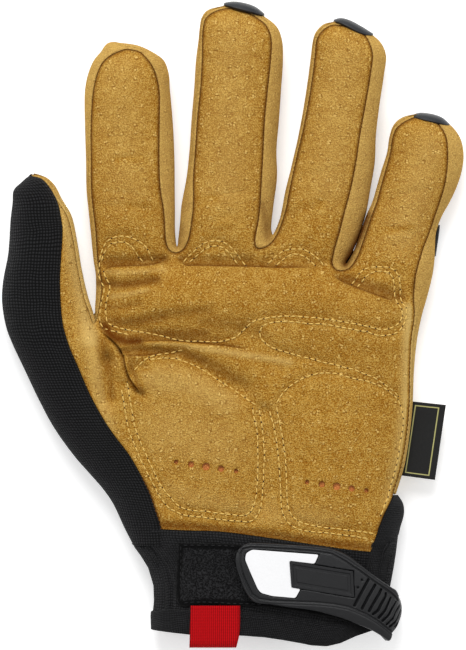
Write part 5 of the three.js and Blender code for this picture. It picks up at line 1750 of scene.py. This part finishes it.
rubber = make_rubber("black_rubber", (0.0125, 0.0127, 0.0138))
tab_table = spline(TAB_ROWS, 0.5)[0]
tab_field = np.vstack([unrolled(from_photo(TAB_FIELD)), FIELD_SIDE, unrolled(from_photo(TAB_FIELD_LOWER))])
rib_lines = [unrolled(from_photo(line)) for line in TAB_RIBS]
rib_lines += [rib_lines[-1] + (SIDE_RIB_PITCH * (i + 1), 0) for i in range(SIDE_RIBS)]
inset_outline = from_photo(INSET_OUTLINE)
plate_outline = from_photo(PLATE_OUTLINE)
pockets = [grown(inset_outline, POCKET_GAP), grown(plate_outline, POCKET_GAP)]


def tab_relief(flat):
    """How far the tab's face stands up, at places on the flattened tab."""
    edge = line_distance(flat, np.vstack([tab_field, tab_field[:1]]))
    in_field = inside(flat, tab_field)
    relief = TAB_RIM * np.where(in_field, 0, 1) * smoothstep(0, 0.35, edge)
    relief = relief - FIELD_GROOVE[0] * bell(edge, FIELD_GROOVE[1])
    rim_groove = RIM_GROOVE[0] * bell(edge - TAB_RIM_WIDTH, RIM_GROOVE[1])
    relief = relief - rim_groove * ~in_field
    for line in rib_lines:
        groove = smoothstep(RIB_WIDTH / 2 + 0.12, RIB_WIDTH / 2 - 0.2, line_distance(flat, line))
        relief = relief - RIB_DEPTH * groove
    for dot in from_photo(TAB_DOTS):
        relief = relief - DOT_DEPTH * smoothstep(*DOT_EDGE, np.linalg.norm(flat - dot, axis=1))
    for pocket in pockets:
        relief = np.where(inside(flat, pocket), -POCKET_DEPTH, relief)
    return relief


def tab_layer(at, across, sunk=None):
    """Points of the tab's face, or of its underside when it is sunk by a thickness."""
    low, high = (np.interp(at, tab_table[:, 0], tab_table[:, side]) for side in (1, 2))
    y = low + (high - low) * across
    angle = np.clip((at - BEND_X) / TAB_CORNER, 0, math.pi / 2)
    down = np.maximum(at - BEND_X - TAB_CORNER * math.pi / 2, 0)
    relief = -TAB_CROWN * (2 * across - 1) ** 2
    if sunk is None:
        from_side = np.minimum(across, 1 - across) * (high - low)
        relief = relief + tab_relief(np.column_stack([at, y])) - turned_down(from_side, TAB_ROUNDING)
        relief = relief - turned_down(np.maximum(at - TAB_ROWS[0, 0], 0), TAB_ROUNDING)
    else:
        relief = relief - sunk
    radius = TAB_CORNER + relief
    x = np.minimum(at, BEND_X) + radius * np.sin(angle)
    return np.column_stack([x, y, TAB_TOP - TAB_CORNER + radius * np.cos(angle) - down])


def closed_slab(name, face, underside, rows, columns):
    """A closed mesh between two grids of points that are joined round their border."""
    upper = np.arange(rows * columns).reshape(rows, columns)
    border = np.concatenate([upper[0, :-1], upper[:-1, -1], upper[-1, :0:-1], upper[:0:-1, 0]])
    ahead = np.roll(border, -1)
    count = rows * columns
    faces = grid_faces(rows, columns)
    faces += [[index + count for index in face_points[::-1]] for face_points in grid_faces(rows, columns)]
    faces += np.column_stack([ahead, border, border + count, ahead + count]).tolist()
    return add_mesh(name, np.vstack([face, underside]), faces)


tab_along = np.interp(
    np.linspace(0, 1, TAB_GRID[0]), (0, 0.4, 1), (TAB_ROWS[0, 0], TAB_RIB_START, TAB_ROWS[-1, 0]))
tab_at = np.repeat(tab_along, TAB_GRID[1])
tab_across = np.tile(np.linspace(0, 1, TAB_GRID[1]), TAB_GRID[0])
tab = closed_slab(
    "closure_tab_rubber", tab_layer(tab_at, tab_across), tab_layer(tab_at, tab_across, TAB_THICK), *TAB_GRID)
face_outwards(tab)
finish_piece(tab, "closure_tab", rubber)

# Inset of the tab
# A smooth white plastic plate on two sides of the small framed plate. It is moulded by itself and pressed
# into a pocket in the tab's face.

INSET_SINK = 0.35  # from the tab's face down to the inset's
INSET_CORNER = 0.7  # rounding of its outline
INSET_EDGE = 0.12
PLATE_BASE = TAB_TOP - POCKET_DEPTH - 0.3  # where both plates begin, below the pocket's floor
WHITE = (0.86, 0.86, 0.87)
WHITE_SHADE = (0.80, 0.80, 0.81)


def outline_plate(name, outline, high, corners=0.0):
    """A flat plate up to a height, from a circle primitive moved to its outline and extruded."""
    bpy.ops.object.select_all(action="DESELECT")
    bpy.ops.mesh.primitive_circle_add(vertices=len(outline), radius=0.01, fill_type="NGON")
    plate = bpy.context.object
    plate.name = name
    for vertex, point in zip(plate.data.vertices, outline):
        vertex.co = (point[0] * MM, point[1] * MM, PLATE_BASE * MM)
    bpy.ops.object.mode_set(mode="EDIT")
    bpy.ops.mesh.select_all(action="SELECT")
    if corners:
        bpy.ops.mesh.bevel(offset=corners * MM, segments=3, affect="VERTICES")
        bpy.ops.mesh.select_all(action="SELECT")
    bpy.ops.mesh.extrude_region_move(TRANSFORM_OT_translate={"value": (0, 0, (high - PLATE_BASE) * MM)})
    bpy.ops.object.mode_set(mode="OBJECT")
    face_outwards(plate)
    return plate


def make_white():
    material, tree, shader = start_material("white_plastic", 0.38)
    nap = add_nap(tree, cloud_scale=180.0)
    tree.links.new(blend_colours(tree, nap["Mask"], WHITE_SHADE, WHITE), shader.inputs["Base Color"])
    bumped(tree, shader, nap["Height"], 0.00003)
    return material


inset = outline_plate("tab_inset_plate", inset_outline, TAB_TOP - INSET_SINK, corners=INSET_CORNER)
soften_edges(inset, INSET_EDGE, 40)
finish_piece(inset, "tab_inset", make_white())

# Framed plate of the tab
# A small plate of black rubber with a raised frame round a sunk field, which is bare. It is moulded by
# itself and lies in the second pocket of the tab, against the inset.

PLATE_RISE = 0.05  # from the tab's face up to the plate's
PLATE_EDGE = 0.08
# Steps from its edge to its middle: how wide each is, and how far it rises
PLATE_STEPS = [(1.0, 0), (0.25, -0.4), (0.9, 0), (0.25, 0.2)]
plate = outline_plate("tab_plate_frame", plate_outline, TAB_TOP + PLATE_RISE)
bpy.ops.object.select_all(action="DESELECT")
bpy.context.view_layer.objects.active = plate
for face in plate.data.polygons:
    face.select = face.normal.z > 0.9 and face.area > 1e-4
for part in (*plate.data.edges, *plate.data.vertices):
    part.select = False
bpy.ops.object.mode_set(mode="EDIT")
bpy.ops.mesh.select_mode(type="FACE")
for width, rise in PLATE_STEPS:
    bpy.ops.mesh.inset(thickness=width * MM, depth=rise * MM)
bpy.ops.object.mode_set(mode="OBJECT")
soften_edges(plate, PLATE_EDGE, 40)
finish_piece(plate, "tab_plate", rubber)

# Side label
# A small woven black tag with a thin pale yellow border and a bare field. One edge of it is sewn into the
# seam at the outer edge of the hand.

# In photo pixels, from the upper left clockwise
LABEL_CORNERS = [(409, 401), (446, 405), (435, 480), (398, 475)]
LABEL_THICK = 0.6
LABEL_WIDTH, LABEL_LENGTH = 14.0, 30.0
LABEL_LIFT = 0.5  # of the edge in the seam, above the glove's widest line
LABEL_DROOP = 0.9  # of its free edge
LABEL_WAVE = 0.35
LABEL_GRID = (24, 48)
BORDER_INSET = 1.5
BORDER_WIDTH = 0.42
HIDDEN_PART = 1.6  # of the width, in the seam
LABEL_THREADS = 0.00045  # between two threads, in metres
# Colours in the valleys, a painted shade, and on top of the threads, a painted highlight
FIELD_COLOURS = (0.002, 0.002, 0.002), (0.008, 0.008, 0.0075)
BORDER_COLOURS = (0.30, 0.28, 0.09), (0.60, 0.57, 0.24)


def make_label():
    material, tree, shader = start_material("label_weave", 0.9)
    split = shade_node(tree, "ShaderNodeSeparateXYZ", {"Vector": surface_place(tree, "UV")}).outputs
    border_ends = {
        "X": (HIDDEN_PART + BORDER_INSET * 0.7, LABEL_WIDTH - BORDER_INSET * 1.7),
        "Y": (BORDER_INSET, LABEL_LENGTH - BORDER_INSET),
    }
    past = []
    for axis, (low, high) in border_ends.items():
        from_middle = arithmetic(tree, "SUBTRACT", split[axis], (low + high) / 2 * MM)
        from_middle = arithmetic(tree, "ABSOLUTE", from_middle)
        past.append(arithmetic(tree, "SUBTRACT", from_middle, (high - low) / 2 * MM))
    from_border = arithmetic(tree, "ABSOLUTE", arithmetic(tree, "MAXIMUM", *past))
    half = BORDER_WIDTH / 2 * MM
    border = value_range(tree, from_border, half * 1.3, half * 0.7)
    weave = add_weave(tree, LABEL_THREADS, "UV")
    # Painted shade in the weave's valleys and painted highlight on its threads
    dark = blend_colours(tree, weave, *FIELD_COLOURS)
    bright = blend_colours(tree, weave, *BORDER_COLOURS)
    tree.links.new(blend_colours(tree, border, dark, bright), shader.inputs["Base Color"])
    bumped(tree, shader, weave, 0.0001)
    return material


label_corners = from_photo(LABEL_CORNERS)


def label_place(across, along):
    upper = label_corners[0] + across[:, None] * (label_corners[1] - label_corners[0])
    lower = label_corners[3] + across[:, None] * (label_corners[2] - label_corners[3])
    plan = lower + along[:, None] * (upper - lower)
    sag = -LABEL_DROOP * across**2 + LABEL_WAVE * np.sin(along * 5 + 0.6) * across
    return np.column_stack([plan, BELLY + LABEL_LIFT + sag])


label = bent_grid("woven_label", *LABEL_GRID, label_place)
for corner in label.data.uv_layers.active.data:
    corner.uv = (corner.uv[0] * LABEL_WIDTH * MM, corner.uv[1] * LABEL_LENGTH * MM)
finish_piece(label, "side_label", make_label(), LABEL_THICK)

# Floor, light and camera
# A plain white paper ground, a large soft lamp beyond the fingertips and a weaker one on each side. The
# camera looks straight down from far off, and its frame is 260 mm high at the level of the glove's widest
# line.

FRAME_HEIGHT = 0.26
LENS = 300.0
SENSOR = 36.0
FLOOR_SIZE = 6
PAPER = (0.85, 0.85, 0.85, 1)
PAPER_GLOW = 0.4
SKY_STRENGTH = 0.54
WHITE_LIGHT = (1, 1, 1, 1)
# Place, size and power
LAMPS = {
    "key_light": ((-0.15, 1.3, 1.3), 1.1, 27),
    "left_light": ((-1.3, 0.1, 1.2), 0.8, 4),
    "right_light": ((1.3, 0.1, 1.2), 0.8, 4),
}

bpy.ops.object.select_all(action="DESELECT")
bpy.ops.mesh.primitive_plane_add(size=FLOOR_SIZE, location=(0, 0, 0))
floor = bpy.context.object
floor.name = "floor"
paper, _, paper_shader = start_material("white_paper", 0.9)
paper_shader.inputs["Base Color"].default_value = PAPER
paper_shader.inputs["Emission Color"].default_value = WHITE_LIGHT
paper_shader.inputs["Emission Strength"].default_value = PAPER_GLOW
floor.data.materials.append(paper)
for name, (place, size, power) in LAMPS.items():
    lamp = bpy.data.lights.new(name, "AREA")
    lamp.shape = "DISK"
    lamp.size = size
    lamp.energy = power
    holder = bpy.data.objects.new(name, lamp)
    bpy.context.scene.collection.objects.link(holder)
    holder.location = place
    holder.rotation_euler = (-Vector(place)).to_track_quat("-Z", "Y").to_euler()
world = bpy.data.worlds.new("studio")
bpy.context.scene.world = world
world.use_nodes = True
sky = world.node_tree.nodes["Background"].inputs
sky["Color"].default_value = WHITE_LIGHT
sky["Strength"].default_value = SKY_STRENGTH
lens = bpy.data.cameras.new("camera")
lens.lens = LENS
lens.sensor_width = SENSOR
camera = bpy.data.objects.new("camera", lens)
bpy.context.scene.collection.objects.link(camera)
camera.location = (0, 0, BELLY * MM + FRAME_HEIGHT * LENS / SENSOR)
bpy.context.scene.camera = camera
bpy.context.scene.view_settings.view_transform = "Standard"
